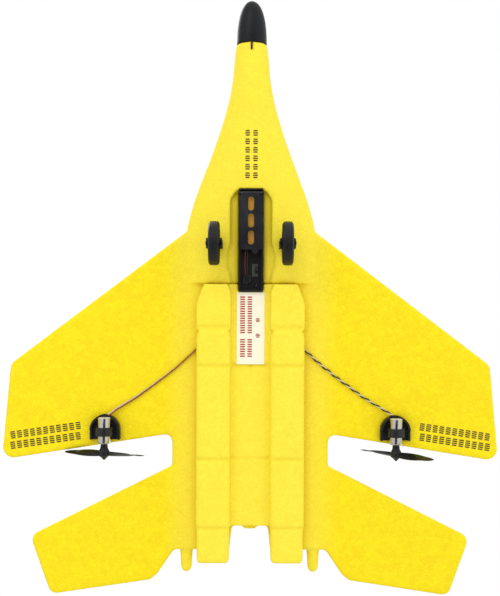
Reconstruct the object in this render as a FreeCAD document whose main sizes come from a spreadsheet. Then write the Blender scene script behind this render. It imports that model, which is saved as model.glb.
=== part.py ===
import FreeCAD, Part
import math
import os
import Sketcher
from FreeCAD import Placement, Rotation, Vector

# A twin-motor foam jet aircraft for radio control, built from its separate pieces.
#
# Frame: +Z up, nose towards -Y, +X out along the pilot's left wing.  The origin is on the ground under the
# middle of the aircraft, in its level attitude, standing on its two wheels.  All sizes are in millimetres.

doc = FreeCAD.newDocument("foam_jet")
sheet = doc.addObject("Spreadsheet::Sheet", "Dims")
nodes = {}

# ---------------------------------------------------------------------------------------------------------
# Driving dimensions.  Each one is a cell of the sheet with its name as the alias.
# ---------------------------------------------------------------------------------------------------------
DIMENSIONS = {
    # heights of the foam moulding
    "plate_bottom": 44.0, "plate_height": 6.0, "nose_axis_z": 47.0, "nacelle_bottom": 28.0,
    "tunnel_floor": 36.0, "trench_floor": 38.5,
    # stations along the length
    "nose_tip": -210.0, "cap_joint": -179.0, "strake_end": -45.7, "pod_front": -9.5, "nozzle_end": 184.0,
    "plate_end": 178.5, "tail_notch": 161.6, "stinger_end": 163.6, "boom_end": 194.6,
    # plan of the wing: each corner as its distance from the centre line and its station
    "strake_side": 46.8, "wing_tip_front": 169.7, "wing_tip_front_y": 47.5, "wing_tip_rear": 175.9,
    "wing_tip_rear_y": 115.6, "wing_root_side": 55.2, "wing_root_y": 96.6,
    # plan of the tailplane
    "tail_root_y": 119.3, "tail_tip_front": 155.5, "tail_tip_front_y": 169.4, "tail_tip_rear": 140.7,
    "tail_tip_rear_y": 210.7, "tail_inner": 70.5, "tail_inner_y": 200.2, "tail_notch_side": 53.5,
    # corner rounding in plan
    "wing_tip_round": 7.5, "tail_tip_round": 6.0, "root_round": 5.0, "plate_edge_round": 2.2,
    # nose
    "nose_radius": 10.65, "spigot_radius": 5.5, "spigot_reach": 11.0, "key_length": 5.7, "key_width": 1.2,
    # nacelles and booms
    "nacelle_x": 25.6, "nacelle_width": 23.9, "nacelle_front": 21.5, "intake_bottom": 29.4,
    "nozzle_start": 159.0, "nozzle_width": 22.4, "nacelle_round": 6.5, "exhaust_radius": 8.2,
    "exhaust_depth": 5.0, "exhaust_z": 41.5, "boom_x": 44.9, "boom_half_width": 4.95,
    # fins
    "fin_thick": 4.4, "fin_foot_z": 46.1, "fin_seat_z": 54.8, "fin_top_z": 106.0, "fin_front": 104.0,
    "fin_back": 170.0, "fin_gap": 0.05,
    # battery trench and box
    "trench_half": 14.5, "trench_bulge": 17.0, "trench_front": -74.0, "box_half": 8.45, "box_front": -75.7,
    "box_back": -4.1, "box_face": 33.5, "box_top": 46.5, "box_wall": 1.1, "box_gap": 0.1,
    "partition_y": -34.2, "partition_foot": 35.6,
    # hinged cover
    "cover_thick": 1.4, "cover_play": 0.15, "hinge_y": -72.6, "hinge_rise": 1.0, "pin_radius": 0.4,
    "pin_clearance": 0.05, "window_width": 4.2, "window_length": 9.8, "window_pitch": 11.8,
    "first_window_y": -65.2, "latch_x": 3.0, "latch_y": -32.5, "latch_radius": 2.4,
    # battery and electronics
    "battery_half": 6.8, "battery_front": -71.0, "battery_back": -35.6, "battery_bottom": 36.0,
    "battery_top": 45.0, "battery_round": 1.6, "deck_bottom": 36.5, "deck_thick": 1.0, "board_bottom": 41.5,
    "board_thick": 0.8, "switch_x": 2.9, "switch_y": -19.0, "switch_width": 4.2, "switch_length": 8.6,
    "slot_x": 3.85, "switch_slot": 1.9, "knob_travel": 2.0, "knob_length": 3.1, "plug_x": -2.6,
    "plug_y": -13.0, "plug_width": 4.8, "plug_length": 6.0, "plug_bottom": 34.6, "plug_top": 38.0,
    "lamp_x": 3.9, "lamp_y": -8.2, "lamp_radius": 1.2, "lamp_bottom": 36.6, "red_lead_x": -3.9,
    "black_lead_x": -2.3, "lead_radius": 0.5, "antenna_radius": 0.35, "antenna_z": 44.6,
    # label on the belly
    "label_half": 9.6, "label_front": -3.6, "label_back": 46.6, "label_thick": 0.2,
    # motors
    "motor_x": 102.0, "motor_z": 37.0, "can_front": 84.6, "can_length": 17.8, "can_radius": 4.5,
    "can_wall": 0.4, "bush_length": 1.5, "bush_radius": 1.5, "shaft_radius": 0.5, "bush_clearance": 0.03,
    "mount_radius": 10.5, "mount_front": 82.7,
    "mount_back": 100.3, "mount_plate": 2.0, "mount_rim": 4.0, "mount_wall": 1.5, "sleeve_front": 91.0,
    "sleeve_length": 6.0, "sleeve_wall": 1.45, "can_clearance": 0.02,
    # propellers
    "prop_y": 109.5, "shaft_end": 112.4, "prop_radius": 30.0, "prop_hub_radius": 3.9, "prop_hub_front": 103.2,
    "prop_hub_back": 113.8,
    # motor wires
    "strand_radius": 0.5, "wire_spread": 0.56, "wire_z": 42.8, "groove_width": 2.8,
    # landing gear
    "wheel_x": 24.9, "wheel_y": -36.5, "wheel_radius": 15.0, "tyre_width": 7.4, "rim_radius": 10.2,
    "hub_width": 8.0, "axle_radius": 0.75, "axle_head": 0.4, "axle_clearance": 0.05, "fork_width": 10.8,
    "fork_ear": 1.3,
    "ear_radius": 3.6, "crown_bottom": 31.2, "crown_height": 2.4, "stem_radius": 2.5, "stem_top": 45.0,
}


def fill_sheet():
    """Writes one named cell for each driving dimension."""
    for number, (name, value) in enumerate(DIMENSIONS.items(), start=1):
        sheet.set(f"A{number}", name)
        sheet.set(f"B{number}", str(value))
        sheet.setAlias(f"B{number}", name)
    doc.recompute()


class Size:
    """A length that knows its value and the sheet expression that gives it."""

    def __init__(self, text, value):
        self.text, self.value = text, value

    def _join(self, other, sign, result):
        text = other.text if isinstance(other, Size) else repr(other)
        return Size(f"({self.text} {sign} {text})", result)

    def __add__(self, other):
        return self._join(other, "+", self.value + number_of(other))

    def __sub__(self, other):
        return self._join(other, "-", self.value - number_of(other))

    def __mul__(self, other):
        return self._join(other, "*", self.value * number_of(other))

    def __truediv__(self, other):
        return self._join(other, "/", self.value / number_of(other))

    def __neg__(self):
        return Size(f"(0 - {self.text})", -self.value)


def number_of(size):
    return size.value if isinstance(size, Size) else float(size)


def cell(name):
    """The named dimension, read from the sheet."""
    return Size(f"Dims.{name}", float(sheet.get(name)))


def bind(feature, path, size):
    """Gives a property its size, and keeps it tied to the sheet."""
    if isinstance(size, Size):
        feature.setExpression(path, size.text)
    else:
        feature.setExpression(path, repr(float(size)))


# ---------------------------------------------------------------------------------------------------------
# Part primitives, placed by expressions
# ---------------------------------------------------------------------------------------------------------
TURNS = {"Z": Rotation(), "Y": Rotation(Vector(1, 0, 0), -90), "X": Rotation(Vector(0, 1, 0), 90)}


def place(feature, base, rotation=None):
    """Puts a feature at a bound point."""
    feature.Placement = Placement(Vector(*[number_of(v) for v in base]), rotation or Rotation())
    for axis, size in zip("xyz", base):
        bind(feature, f"Placement.Base.{axis}", size)
    return feature


def box(name, low, high):
    """A box between two corners."""
    feature = doc.addObject("Part::Box", name)
    for side, lowest, highest in zip(("Length", "Width", "Height"), low, high):
        bind(feature, side, highest - lowest if isinstance(highest, Size) else -(lowest - highest)
             if isinstance(lowest, Size) else highest - lowest)
    return place(feature, low)


def rod(name, radius, length, base, axis="Y"):
    """A cylinder that runs from base along an axis."""
    feature = doc.addObject("Part::Cylinder", name)
    bind(feature, "Radius", radius)
    bind(feature, "Height", length)
    return place(feature, base, TURNS[axis])


def fuse(name, *parts):
    feature = doc.addObject("Part::MultiFuse", name)
    feature.Shapes = list(parts)
    feature.Refine = True
    return feature


def cut(name, base, *tools):
    feature = doc.addObject("Part::Cut", name)
    feature.Base = base
    feature.Tool = tools[0] if len(tools) == 1 else fuse(name + "_tools", *tools)
    feature.Refine = True
    return feature


def tube(name, outer, inner, length, base, axis="Y"):
    """A cylinder with a concentric bore right through."""
    return cut(name, rod(name + "_outside", outer, length, base, axis),
               rod(name + "_inside", inner, length, base, axis))


def mirrored(name, source):
    """The same piece on the other side of the centre plane."""
    feature = doc.addObject("Part::Mirroring", name)
    feature.Source = source
    feature.Normal = Vector(1, 0, 0)
    feature.Base = Vector(0, 0, 0)
    return feature


def rounded(name, base, radius, wanted):
    """A fillet on the edges whose middle point passes the test."""
    doc.recompute()
    feature = doc.addObject("Part::Fillet", name)
    feature.Base = base
    picked = []
    for number, edge in enumerate(base.Shape.Edges, start=1):
        middle = edge.valueAt((edge.FirstParameter + edge.LastParameter) / 2)
        if wanted(edge, middle):
            picked.append((number, number_of(radius), number_of(radius)))
    feature.Edges = picked
    return feature


def oval_loft(name, centre_x, stations, straight=False):
    """A solid through upright ovals.  Each station is (y, half width, half height, centre height)."""
    ovals = []
    for number, (y, half_width, half_height, height) in enumerate(stations):
        oval = doc.addObject("Part::Ellipse", f"{name}_oval_{number}")
        wide = number_of(half_width) >= number_of(half_height)
        bind(oval, "MajorRadius", half_width if wide else half_height)
        bind(oval, "MinorRadius", half_height if wide else half_width)
        turn = Rotation(Vector(1, 0, 0), 90)
        if not wide:
            turn = turn.multiply(Rotation(Vector(0, 0, 1), 90))
        ovals.append(place(oval, (centre_x, y, height), turn))
    loft = doc.addObject("Part::Loft", name)
    loft.Sections = ovals
    loft.Solid = True
    loft.Ruled = straight
    return loft


# ---------------------------------------------------------------------------------------------------------
# PartDesign bodies
# ---------------------------------------------------------------------------------------------------------
def new_body(name):
    return doc.addObject("PartDesign::Body", name)


def new_sketch(body, name, role, offset, across=0.0, up=0.0):
    """A sketch on one of its body's own origin planes, moved by bound amounts."""
    sketch = body.newObject("Sketcher::SketchObject", name)
    plane = [feature for feature in body.Origin.OriginFeatures if feature.Role == role][0]
    sketch.AttachmentSupport = [(plane, "")]
    sketch.MapMode = "FlatFace"
    for axis, size in (("x", across), ("y", up), ("z", offset)):
        bind(sketch, f"AttachmentOffset.Base.{axis}", size)
    return sketch


def pin_point(sketch, geometry, position, point):
    """Holds a sketch point at bound coordinates."""
    for kind, size in zip(("DistanceX", "DistanceY"), point):
        index = sketch.addConstraint(Sketcher.Constraint(kind, -1, 1, geometry, position, number_of(size)))
        bind(sketch, f"Constraints[{index}]", size)


def polygon(sketch, points):
    """A closed outline with every corner held by its own pair of sizes."""
    places = [Vector(number_of(x), number_of(y), 0) for x, y in points]
    first = sketch.GeometryCount
    count = len(points)
    for number in range(count):
        sketch.addGeometry(Part.LineSegment(places[number], places[(number + 1) % count]))
    for number in range(count):
        following = first + (number + 1) % count
        sketch.addConstraint(Sketcher.Constraint("Coincident", first + number, 2, following, 1))
    for number, point in enumerate(points):
        pin_point(sketch, first + number, 1, point)


def pad(body, sketch, length, both_ways=False):
    feature = body.newObject("PartDesign::Pad", body.Name + "_pad")
    feature.Profile = sketch
    bind(feature, "Length", length)
    if both_ways:
        feature.SideType = "Symmetric"
    return feature


def body_fillet(body, name, radius, wanted):
    """Rounds the edges of the body's tip whose middle point passes the test."""
    doc.recompute()
    base = body.Tip
    names = []
    for number, edge in enumerate(base.Shape.Edges, start=1):
        middle = edge.valueAt((edge.FirstParameter + edge.LastParameter) / 2)
        if wanted(edge, middle):
            names.append(f"Edge{number}")
    feature = body.newObject("PartDesign::Fillet", name)
    feature.Base = (base, names)
    bind(feature, "Radius", radius)
    doc.recompute()
    return feature


def revolved(name, x, z, profile):
    """A turned piece whose axis runs along Y.  The profile is a list of (y, radius)."""
    body = new_body(name)
    sketch = new_sketch(body, name + "_profile", "YZ_Plane", x, 0.0, z)
    polygon(sketch, profile)
    turn = body.newObject("PartDesign::Revolution", name + "_turn")
    turn.Profile = sketch
    turn.ReferenceAxis = (sketch, ["H_Axis"])
    turn.Angle = 360
    return body


def is_upright(edge):
    """True for a straight edge that runs along Z."""
    if edge.Curve.TypeId != "Part::GeomLine":
        return False
    return abs(edge.tangentAt(edge.FirstParameter).z) > 0.999


def near(point, places, reach=0.6):
    """True if the point is over one of the plan places."""
    return any(math.hypot(abs(point.x) - x, point.y - y) < reach for x, y in places)


def keep(name, feature):
    """Files a finished piece under its node name."""
    feature.Label = name
    nodes[name] = feature
    return feature


# ---------------------------------------------------------------------------------------------------------
# Foam mouldings
# ---------------------------------------------------------------------------------------------------------
def both_sides(points):
    """An outline from its left half: the same points again, mirrored, in the opposite order."""
    return list(points) + [(-x, y) for x, y in reversed(points)]


def wing_and_tail_plate():
    """The flat foam plate: swept wing, tail plane and the broad back that joins them."""
    d = cell
    sweep = (d("wing_tip_front_y") - d("strake_end")) / (d("wing_tip_front") - d("strake_side"))
    buried = 12.0  # how far the leading edge runs on inside the fuselage
    left_half = [
        (d("strake_side") - buried, d("strake_end") - sweep * buried),
        (d("wing_tip_front"), d("wing_tip_front_y")),
        (d("wing_tip_rear"), d("wing_tip_rear_y")),
        (d("wing_root_side"), d("wing_root_y")),
        (d("wing_root_side"), d("tail_root_y")),
        (d("tail_tip_front"), d("tail_tip_front_y")),
        (d("tail_tip_rear"), d("tail_tip_rear_y")),
        (d("tail_inner"), d("tail_inner_y")),
        (d("tail_inner") - 5.2, d("tail_inner_y") - 4.2),
        (d("tail_notch_side"), d("plate_end")),
        (d("nacelle_x") - d("nozzle_width") * 0.5, d("plate_end")),
        (d("nacelle_x") - d("nozzle_width") * 0.5 - 1.8, d("tail_notch")),
        (d("boom_half_width"), d("tail_notch")),
        (d("boom_half_width") - 1.0, d("stinger_end")),
    ]
    body = new_body("foam_plate")
    sketch = new_sketch(body, "foam_plate_plan", "XY_Plane", d("plate_bottom"))
    polygon(sketch, both_sides(left_half))
    pad(body, sketch, d("plate_height"))

    def corners(*names):
        places = [(number_of(d(x)), number_of(d(y))) for x, y in names]
        return lambda edge, middle: is_upright(edge) and near(middle, places)

    body_fillet(body, "foam_plate_wing_tips", d("wing_tip_round"),
                corners(("wing_tip_front", "wing_tip_front_y"), ("wing_tip_rear", "wing_tip_rear_y")))
    body_fillet(body, "foam_plate_tail_tips", d("tail_tip_round"),
                corners(("tail_tip_front", "tail_tip_front_y"), ("tail_tip_rear", "tail_tip_rear_y")))
    body_fillet(body, "foam_plate_roots", d("root_round"),
                corners(("wing_root_side", "wing_root_y"), ("tail_notch_side", "plate_end")))

    low, high = number_of(d("plate_bottom")), number_of(d("plate_bottom") + d("plate_height"))
    clear_of_body = number_of(d("wing_root_side")) - 1.0

    def outer_rims(edge, middle):
        on_face = min(abs(middle.z - low), abs(middle.z - high)) < 0.01
        return on_face and abs(middle.x) > clear_of_body and not is_upright(edge)

    body_fillet(body, "foam_plate_edges", d("plate_edge_round"), outer_rims)
    return body


def fuselage():
    """The fuselage and its root strakes as one run of ovals, widening from the nose to the wing."""
    axis = cell("nose_axis_z")
    start, side = cell("nose_radius"), cell("strake_side")
    return oval_loft("fuselage", 0.0, [
        (cell("cap_joint"), start, start, axis),
        (cell("cap_joint") + 22.0, side * 0.28, start + 1.6, axis),
        (cell("cap_joint") + 40.0, side * 0.345, start + 2.2, axis),
        (cell("strake_end") - 71.0, side * 0.48, start + 2.4, axis + 0.2),
        (cell("strake_end") - 48.0, side * 0.655, start + 2.8, axis + 0.5),
        (cell("strake_end") - 25.0, side * 0.84, start + 3.1, axis + 1.0),
        (cell("strake_end") - 2.0, side * 0.972, start + 3.3, axis + 1.3),
        (cell("pod_front"), side, start + 2.4, axis + 1.5),
        (cell("pod_front") + 70.0, side * 0.94, start + 0.4, axis + 3.0),
        (cell("pod_front") + 130.0, side * 0.81, start - 1.6, axis + 3.5),
        (cell("tail_notch"), side * 0.62, start - 4.0, axis + 3.0),
    ])


def canopy_hump():
    """The moulded cockpit hump on top of the fuselage."""
    axis = cell("nose_axis_z") + 8.0
    front = cell("cap_joint") + 36.0
    return oval_loft("canopy_hump", 0.0, [
        (front, 2.5, 3.0, axis - 1.5),
        (front + 8.0, 6.4, 8.4, axis),
        (front + 22.0, 8.9, 13.2, axis + 0.6),
        (front + 38.0, 9.6, 14.4, axis + 0.6),
        (front + 56.0, 8.8, 11.8, axis),
        (front + 76.0, 6.8, 8.6, axis - 0.5),
        (front + 98.0, 4.0, 5.0, axis - 1.0),
    ])


def engine_hump():
    """The long bulge over the left nacelle, from behind the wing's leading edge to the exhaust."""
    middle = cell("plate_bottom") + 4.0
    return oval_loft("engine_hump", cell("nacelle_x"), [
        (cell("pod_front"), 7.0, 6.0, middle),
        (cell("pod_front") + 26.0, 10.5, 10.4, middle),
        (cell("pod_front") + 76.0, 11.6, 12.0, middle),
        (cell("nozzle_start") - 30.0, 11.6, 11.4, middle),
        (cell("nozzle_start"), 11.2, 10.0, middle - 1.0),
        (cell("nozzle_end") - 1.0, 10.4, 7.8, middle - 2.4),
    ])


def tail_boom():
    """The left tail boom: a rounded beam that carries the fin and ends in a short tapered peg."""
    middle = cell("plate_bottom") + 6.0
    half = cell("boom_half_width")
    return oval_loft("tail_boom", cell("boom_x"), [
        (cell("wing_root_y") - 22.0, half * 0.5, 2.4, middle - 3.0),
        (cell("wing_root_y") - 8.0, half, 5.0, middle),
        (cell("plate_end") - 6.0, half, 5.0, middle),
        (cell("boom_end") - 4.0, half * 0.8, 3.8, middle - 1.0),
        (cell("boom_end") - 0.8, half * 0.62, 3.0, middle - 1.3),
        (cell("boom_end"), half * 0.35, 1.7, middle - 1.3),
    ], straight=True)


def fin_slot():
    """The glued joint of the left fin, a little wider than the foam sheet that fills it."""
    gap = cell("fin_gap")
    half = cell("fin_thick") * 0.5 + gap
    return box("fin_slot", (cell("boom_x") - half, cell("fin_front") - gap, cell("fin_foot_z") - gap),
               (cell("boom_x") + half, cell("fin_back") + gap, cell("fin_seat_z") + 12.0))


def trench():
    """The recess around the battery box, with a bulge on each side level with the switch."""
    half, bulge = cell("trench_half"), cell("trench_bulge")
    body = new_body("trench")
    sketch = new_sketch(body, "trench_plan", "XY_Plane", cell("nacelle_bottom"))
    polygon(sketch, both_sides([
        (half - 4.0, cell("trench_front")),
        (half, cell("trench_front") + 6.0),
        (half, cell("partition_y") - 4.0),
        (bulge, cell("partition_y") + 4.0),
        (bulge, cell("switch_y") - 4.0),
        (half, cell("switch_y") + 5.0),
        (half, cell("pod_front")),
    ]))
    pad(body, sketch, cell("trench_floor") - cell("nacelle_bottom"))
    return body


def box_opening(name):
    """The room the battery box takes out of the foam around it."""
    gap = cell("box_gap")
    half = cell("box_half") + gap
    return box(name, (-half, cell("box_front") - gap, cell("nacelle_bottom")),
               (half, cell("box_back") + gap, cell("box_top") + gap))


def exhaust_recess(name):
    """The round recess that makes the left engine's exhaust."""
    return rod(name, cell("exhaust_radius"), cell("exhaust_depth") + 4.0,
               (cell("nacelle_x"), cell("nozzle_end") - cell("exhaust_depth"), cell("exhaust_z")))


def nose_key(name, gap):
    """The thin locating key under the rear edge of the nose cap."""
    half = cell("key_width") * 0.5 + gap
    low = cell("nose_axis_z") - cell("nose_radius")
    return box(name, (-half, cell("cap_joint"), low - 1.0),
               (half, cell("cap_joint") + cell("key_length") + gap, low + 1.2 + gap))


def airframe_foam():
    """The main foam moulding, with everything that is let into it cut away."""
    hump, boom, slot = engine_hump(), tail_boom(), fin_slot()
    spigot = rod("spigot", cell("spigot_radius"), cell("spigot_reach") + 2.0,
                 (0.0, cell("cap_joint") - cell("spigot_reach"), cell("nose_axis_z")))
    solid = fuse("airframe_solid", fuselage(), wing_and_tail_plate(), canopy_hump(), spigot,
                 hump, mirrored("engine_hump_right", hump), boom, mirrored("tail_boom_right", boom))
    below_plate = box("below_plate", (cell("wing_root_side") * -1.0, cell("pod_front"), 0.0),
                      (cell("wing_root_side"), cell("nozzle_end") + 20.0, cell("plate_bottom")))
    exhaust = exhaust_recess("airframe_exhaust")
    stem = rod("stem_hole", cell("stem_radius"), cell("stem_top"),
               (cell("wheel_x"), cell("wheel_y"), 0.0), "Z")
    return cut("airframe", solid, below_plate, trench(), box_opening("airframe_box_opening"),
               slot, mirrored("fin_slot_right", slot), exhaust, mirrored("airframe_exhaust_right", exhaust),
               stem, mirrored("stem_hole_right", stem), nose_key("key_slot", 0.05))


def nacelle():
    """The left nacelle: a slanted intake lip, a long square duct and a narrower nozzle."""
    middle, half = cell("nacelle_x"), cell("nacelle_width") * 0.5
    narrow = cell("nozzle_width") * 0.5
    floor, top = cell("nacelle_bottom"), cell("plate_bottom")
    intake = new_body("intake")
    sketch = new_sketch(intake, "intake_plan", "XY_Plane", cell("intake_bottom"))
    polygon(sketch, [
        (middle - half + 2.4, cell("pod_front")),
        (middle + half - 5.2, cell("pod_front")),
        (middle + half, cell("pod_front") + 14.0),
        (middle + half, cell("nacelle_front") + 1.0),
        (middle - half, cell("nacelle_front") + 1.0),
        (middle - half, cell("pod_front") + 6.0),
    ])
    pad(intake, sketch, top - cell("intake_bottom"))
    mouth = box("intake_mouth", (middle - half + 4.6, cell("pod_front") - 1.0, cell("intake_bottom") + 2.0),
                (middle + half - 7.4, cell("pod_front") + 9.0, top - 2.5))
    duct = box("duct", (middle - half, cell("nacelle_front"), floor),
               (middle + half, cell("nozzle_start") + 0.5, top))
    start, end = number_of(cell("nacelle_front")), number_of(cell("nozzle_start"))
    low = number_of(floor)

    def front_uprights(edge, point):
        return is_upright(edge) and abs(point.y - start) < 0.1

    def lower_rims(edge, point):
        return abs(point.z - low) < 0.01 and point.y < end

    duct_round = rounded("duct_front_round", duct, cell("nacelle_round"), front_uprights)
    duct_round = rounded("duct_round", duct_round, cell("nacelle_round") * 0.6, lower_rims)
    nozzle = box("nozzle", (middle - narrow, cell("nozzle_start"), floor),
                 (middle + narrow, cell("nozzle_end"), top))
    rear = number_of(cell("nozzle_end"))

    def nozzle_rims(edge, point):
        lower = abs(point.z - low) < 0.01 and point.y > end + 1.0
        return lower or (is_upright(edge) and abs(point.y - rear) < 0.1)

    nozzle_round = rounded("nozzle_round", nozzle, cell("nacelle_round") * 0.4, nozzle_rims)
    shell = fuse("nacelle_shell", intake, duct_round, nozzle_round)
    return cut("nacelle", shell, mouth, exhaust_recess("pod_exhaust"))


def groove(name, start, end):
    """A straight channel in the top of the pod for a pair of motor wires."""
    (x0, y0), (x1, y1) = start, end
    length = math.hypot(x1 - x0, y1 - y0)
    heading = Rotation(Vector(0, 0, 1), math.degrees(math.atan2(y1 - y0, x1 - x0)))
    half = number_of(cell("groove_width")) / 2
    corner = Vector(x0, y0, 0) + heading.multVec(Vector(-half * 0.4, -half, 0))
    channel = doc.addObject("Part::Box", name)
    bind(channel, "Length", length + 0.8 * half)
    bind(channel, "Width", cell("groove_width"))
    bind(channel, "Height", 6.0)
    return place(channel, (corner.x, corner.y, cell("wire_z") - cell("groove_width") * 0.5), heading)


# The plan of the left pair of motor wires: out of the box, across the pod, then along under the wing.
WIRE_EXIT = (4.0, -6.0)
WIRE_BEND = (9.0, -1.0)
WIRE_SIDE = (38.5, 37.4)


def belly_pod():
    """The lower moulding: both nacelles and the floor of the tunnel between them."""
    side = nacelle()
    channels = [groove("groove_inner", WIRE_EXIT, WIRE_BEND), groove("groove_outer", WIRE_BEND, WIRE_SIDE)]
    web = box("tunnel_web", (-cell("nacelle_x") + 8.0, cell("pod_front"), cell("tunnel_floor")),
              (cell("nacelle_x") - 8.0, cell("tail_notch") - 2.0, cell("plate_bottom")))
    solid = fuse("pod_solid", side, mirrored("nacelle_right", side), web)
    return cut("pod", solid, box_opening("pod_box_opening"), *channels,
               *[mirrored(channel.Name + "_right", channel) for channel in channels])


def fin():
    """The left fin: a swept sheet of foam standing in its boom."""
    foot, seat, top = cell("fin_foot_z"), cell("fin_seat_z"), cell("fin_top_z")
    front, back = cell("fin_front"), cell("fin_back")
    body = new_body("fin")
    sketch = new_sketch(body, "fin_outline", "YZ_Plane", cell("boom_x"))
    polygon(sketch, [
        (front, foot), (back, foot), (back, seat + 2.0), (back + 10.0, top),
        (back - 22.0, top), (front, seat + 1.0),
    ])
    pad(body, sketch, cell("fin_thick"), both_ways=True)
    tip_places = [number_of(back + 10.0), number_of(back - 22.0)]
    tip_height = number_of(top)

    def tip_corners(edge, middle):
        return abs(middle.z - tip_height) < 0.1 and min(abs(middle.y - y) for y in tip_places) < 0.1

    body_fillet(body, "fin_tip_round", 4.0, tip_corners)
    return body


def nose_cap():
    """The pointed plastic cap, bored out at the back to push onto the foam spigot."""
    tip, rear, radius = cell("nose_tip"), cell("cap_joint"), cell("nose_radius")
    rings = 10
    profile = []
    for number in range(1, rings):
        share = number / rings  # how far back this ring is
        profile.append((tip + (rear - tip) * share ** 2, radius * math.sin(math.pi / 2 * share) ** 0.9))
    socket, hollow = rear - cell("spigot_reach"), cell("spigot_radius")
    body = revolved("cap_turned", 0.0, cell("nose_axis_z"), [
        (tip, 0.0), *profile, (rear, radius), (rear, hollow), (socket, hollow), (socket, 0.0),
    ])
    return fuse("cap", body, nose_key("cap_key", 0.0))


# ---------------------------------------------------------------------------------------------------------
# Battery box, its cover and what is inside
# ---------------------------------------------------------------------------------------------------------
def battery_box():
    """A moulded tray, open downwards: a battery room in front and a switch room behind."""
    half, wall, face = cell("box_half"), cell("box_wall"), cell("box_face")
    front, back, top = cell("box_front"), cell("box_back"), cell("box_top")
    body = new_body("box_body")
    sketch = new_sketch(body, "box_outline", "XY_Plane", face)
    polygon(sketch, [(-half, front), (half, front), (half, back), (-half, back)])
    pad(body, sketch, top - face)
    room = new_sketch(body, "box_room", "XY_Plane", top - wall)
    polygon(room, [(-half + wall, front + wall), (half - wall, front + wall),
                   (half - wall, back - wall), (-half + wall, back - wall)])
    hollow = body.newObject("PartDesign::Pocket", "box_hollow")
    hollow.Profile = room
    bind(hollow, "Length", top - face)
    doc.recompute()
    partition = box("partition", (-half + wall, cell("partition_y"), cell("partition_foot")),
                    (half - wall, cell("partition_y") + wall, top - wall))
    pin_z = face - cell("hinge_rise")
    knuckles = []
    for side, low in (("left", half - 1.6), ("right", -half)):
        ear = rod("knuckle_" + side, 1.0, 1.6, (low, cell("hinge_y"), pin_z), "X")
        web = box("knuckle_web_" + side, (low, cell("hinge_y") - 1.0, pin_z),
                  (low + 1.6, cell("hinge_y") + 1.0, face + 0.5))
        knuckles += [ear, web]
    bore = rod("knuckle_bore", cell("pin_radius"), half * 2.0, (-half, cell("hinge_y"), pin_z), "X")
    width = cell("groove_width")
    exits = [box("wire_exit_" + side, (x - width * 0.8, back - wall - 0.5, cell("wire_z") - width * 0.5),
                 (x + width * 0.8, back + 0.5, cell("wire_z") + width * 0.5))
             for side, x in (("left", width * 1.8), ("right", width * -1.8))]
    shell = fuse("box_shell", body, partition, *knuckles)
    return cut("box_tray", shell, bore, *exits)


def battery_cover():
    """The hinged cover: a thin plate with three oval windows and a thumb stud at its free edge."""
    half, top = cell("box_half"), cell("box_face") - cell("cover_play")
    pin_z = cell("box_face") - cell("hinge_rise")
    knuckle = half - 1.8
    low = top - cell("cover_thick")
    body = new_body("cover_plate")
    sketch = new_sketch(body, "cover_outline", "XY_Plane", low)
    hinge, rear = cell("hinge_y"), cell("latch_y") - 0.9
    polygon(sketch, [
        (-half, hinge + 1.5), (-knuckle, hinge + 1.5), (-knuckle, hinge), (knuckle, hinge),
        (knuckle, hinge + 1.5), (half, hinge + 1.5), (half, rear), (-half, rear),
    ])
    pad(body, sketch, cell("cover_thick"))
    windows = new_sketch(body, "cover_windows", "XY_Plane", top)
    for number in range(3):
        oval_window(windows, cell("first_window_y") + cell("window_pitch") * number)
    opening = body.newObject("PartDesign::Pocket", "cover_openings")
    opening.Profile = windows
    bind(opening, "Length", cell("cover_thick") + 0.5)
    body_fillet(body, "cover_corners", 1.0, lambda edge, middle: is_upright(edge) and middle.y > -34.0)
    barrel = rod("cover_barrel", 1.0, knuckle * 2.0, (-knuckle, hinge, pin_z), "X")
    stud = rod("cover_stud", cell("latch_radius"), cell("cover_thick") + 0.8,
               (cell("latch_x"), cell("latch_y"), low - 0.8), "Z")
    bore = rod("cover_bore", cell("pin_radius") + cell("pin_clearance"), knuckle * 2.0 + 2.0,
               (-knuckle - 1.0, hinge, pin_z), "X")
    return cut("cover", fuse("cover_solid", body, barrel, stud), bore)


def oval_window(sketch, middle):
    """One long window with round ends: two straight sides joined by half circles."""
    radius = number_of(cell("window_width")) / 2
    reach = number_of(cell("window_length")) / 2 - radius
    y = number_of(middle)
    first = sketch.GeometryCount
    ends = [(y + reach, 0.0, math.pi), (y - reach, math.pi, 2 * math.pi)]
    for height, start, stop in ends:
        circle = Part.Circle(Vector(0, height, 0), Vector(0, 0, 1), radius)
        sketch.addGeometry(Part.ArcOfCircle(circle, start, stop))
    sketch.addGeometry(Part.LineSegment(Vector(-radius, y + reach, 0), Vector(-radius, y - reach, 0)))
    sketch.addGeometry(Part.LineSegment(Vector(radius, y - reach, 0), Vector(radius, y + reach, 0)))
    joins = [(0, 2, 2, 1), (2, 2, 1, 1), (1, 2, 3, 1), (3, 2, 0, 1)]
    for one, one_end, other, other_end in joins:
        sketch.addConstraint(Sketcher.Constraint("Tangent", first + one, one_end, first + other, other_end))
    pin_point(sketch, first, 3, (Size("0", 0.0), middle + cell("window_length") * 0.5
                                 - cell("window_width") * 0.5))
    spread = sketch.addConstraint(Sketcher.Constraint("DistanceY", first + 1, 3, first, 3, 2 * reach))
    bind(sketch, f"Constraints[{spread}]", cell("window_length") - cell("window_width"))
    size = sketch.addConstraint(Sketcher.Constraint("Radius", first, radius))
    bind(sketch, f"Constraints[{size}]", cell("window_width") * 0.5)


def hinge_pin():
    return rod("pin", cell("pin_radius"), cell("box_half") * 2.0,
               (-cell("box_half"), cell("hinge_y"), cell("box_face") - cell("hinge_rise")), "X")


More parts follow.
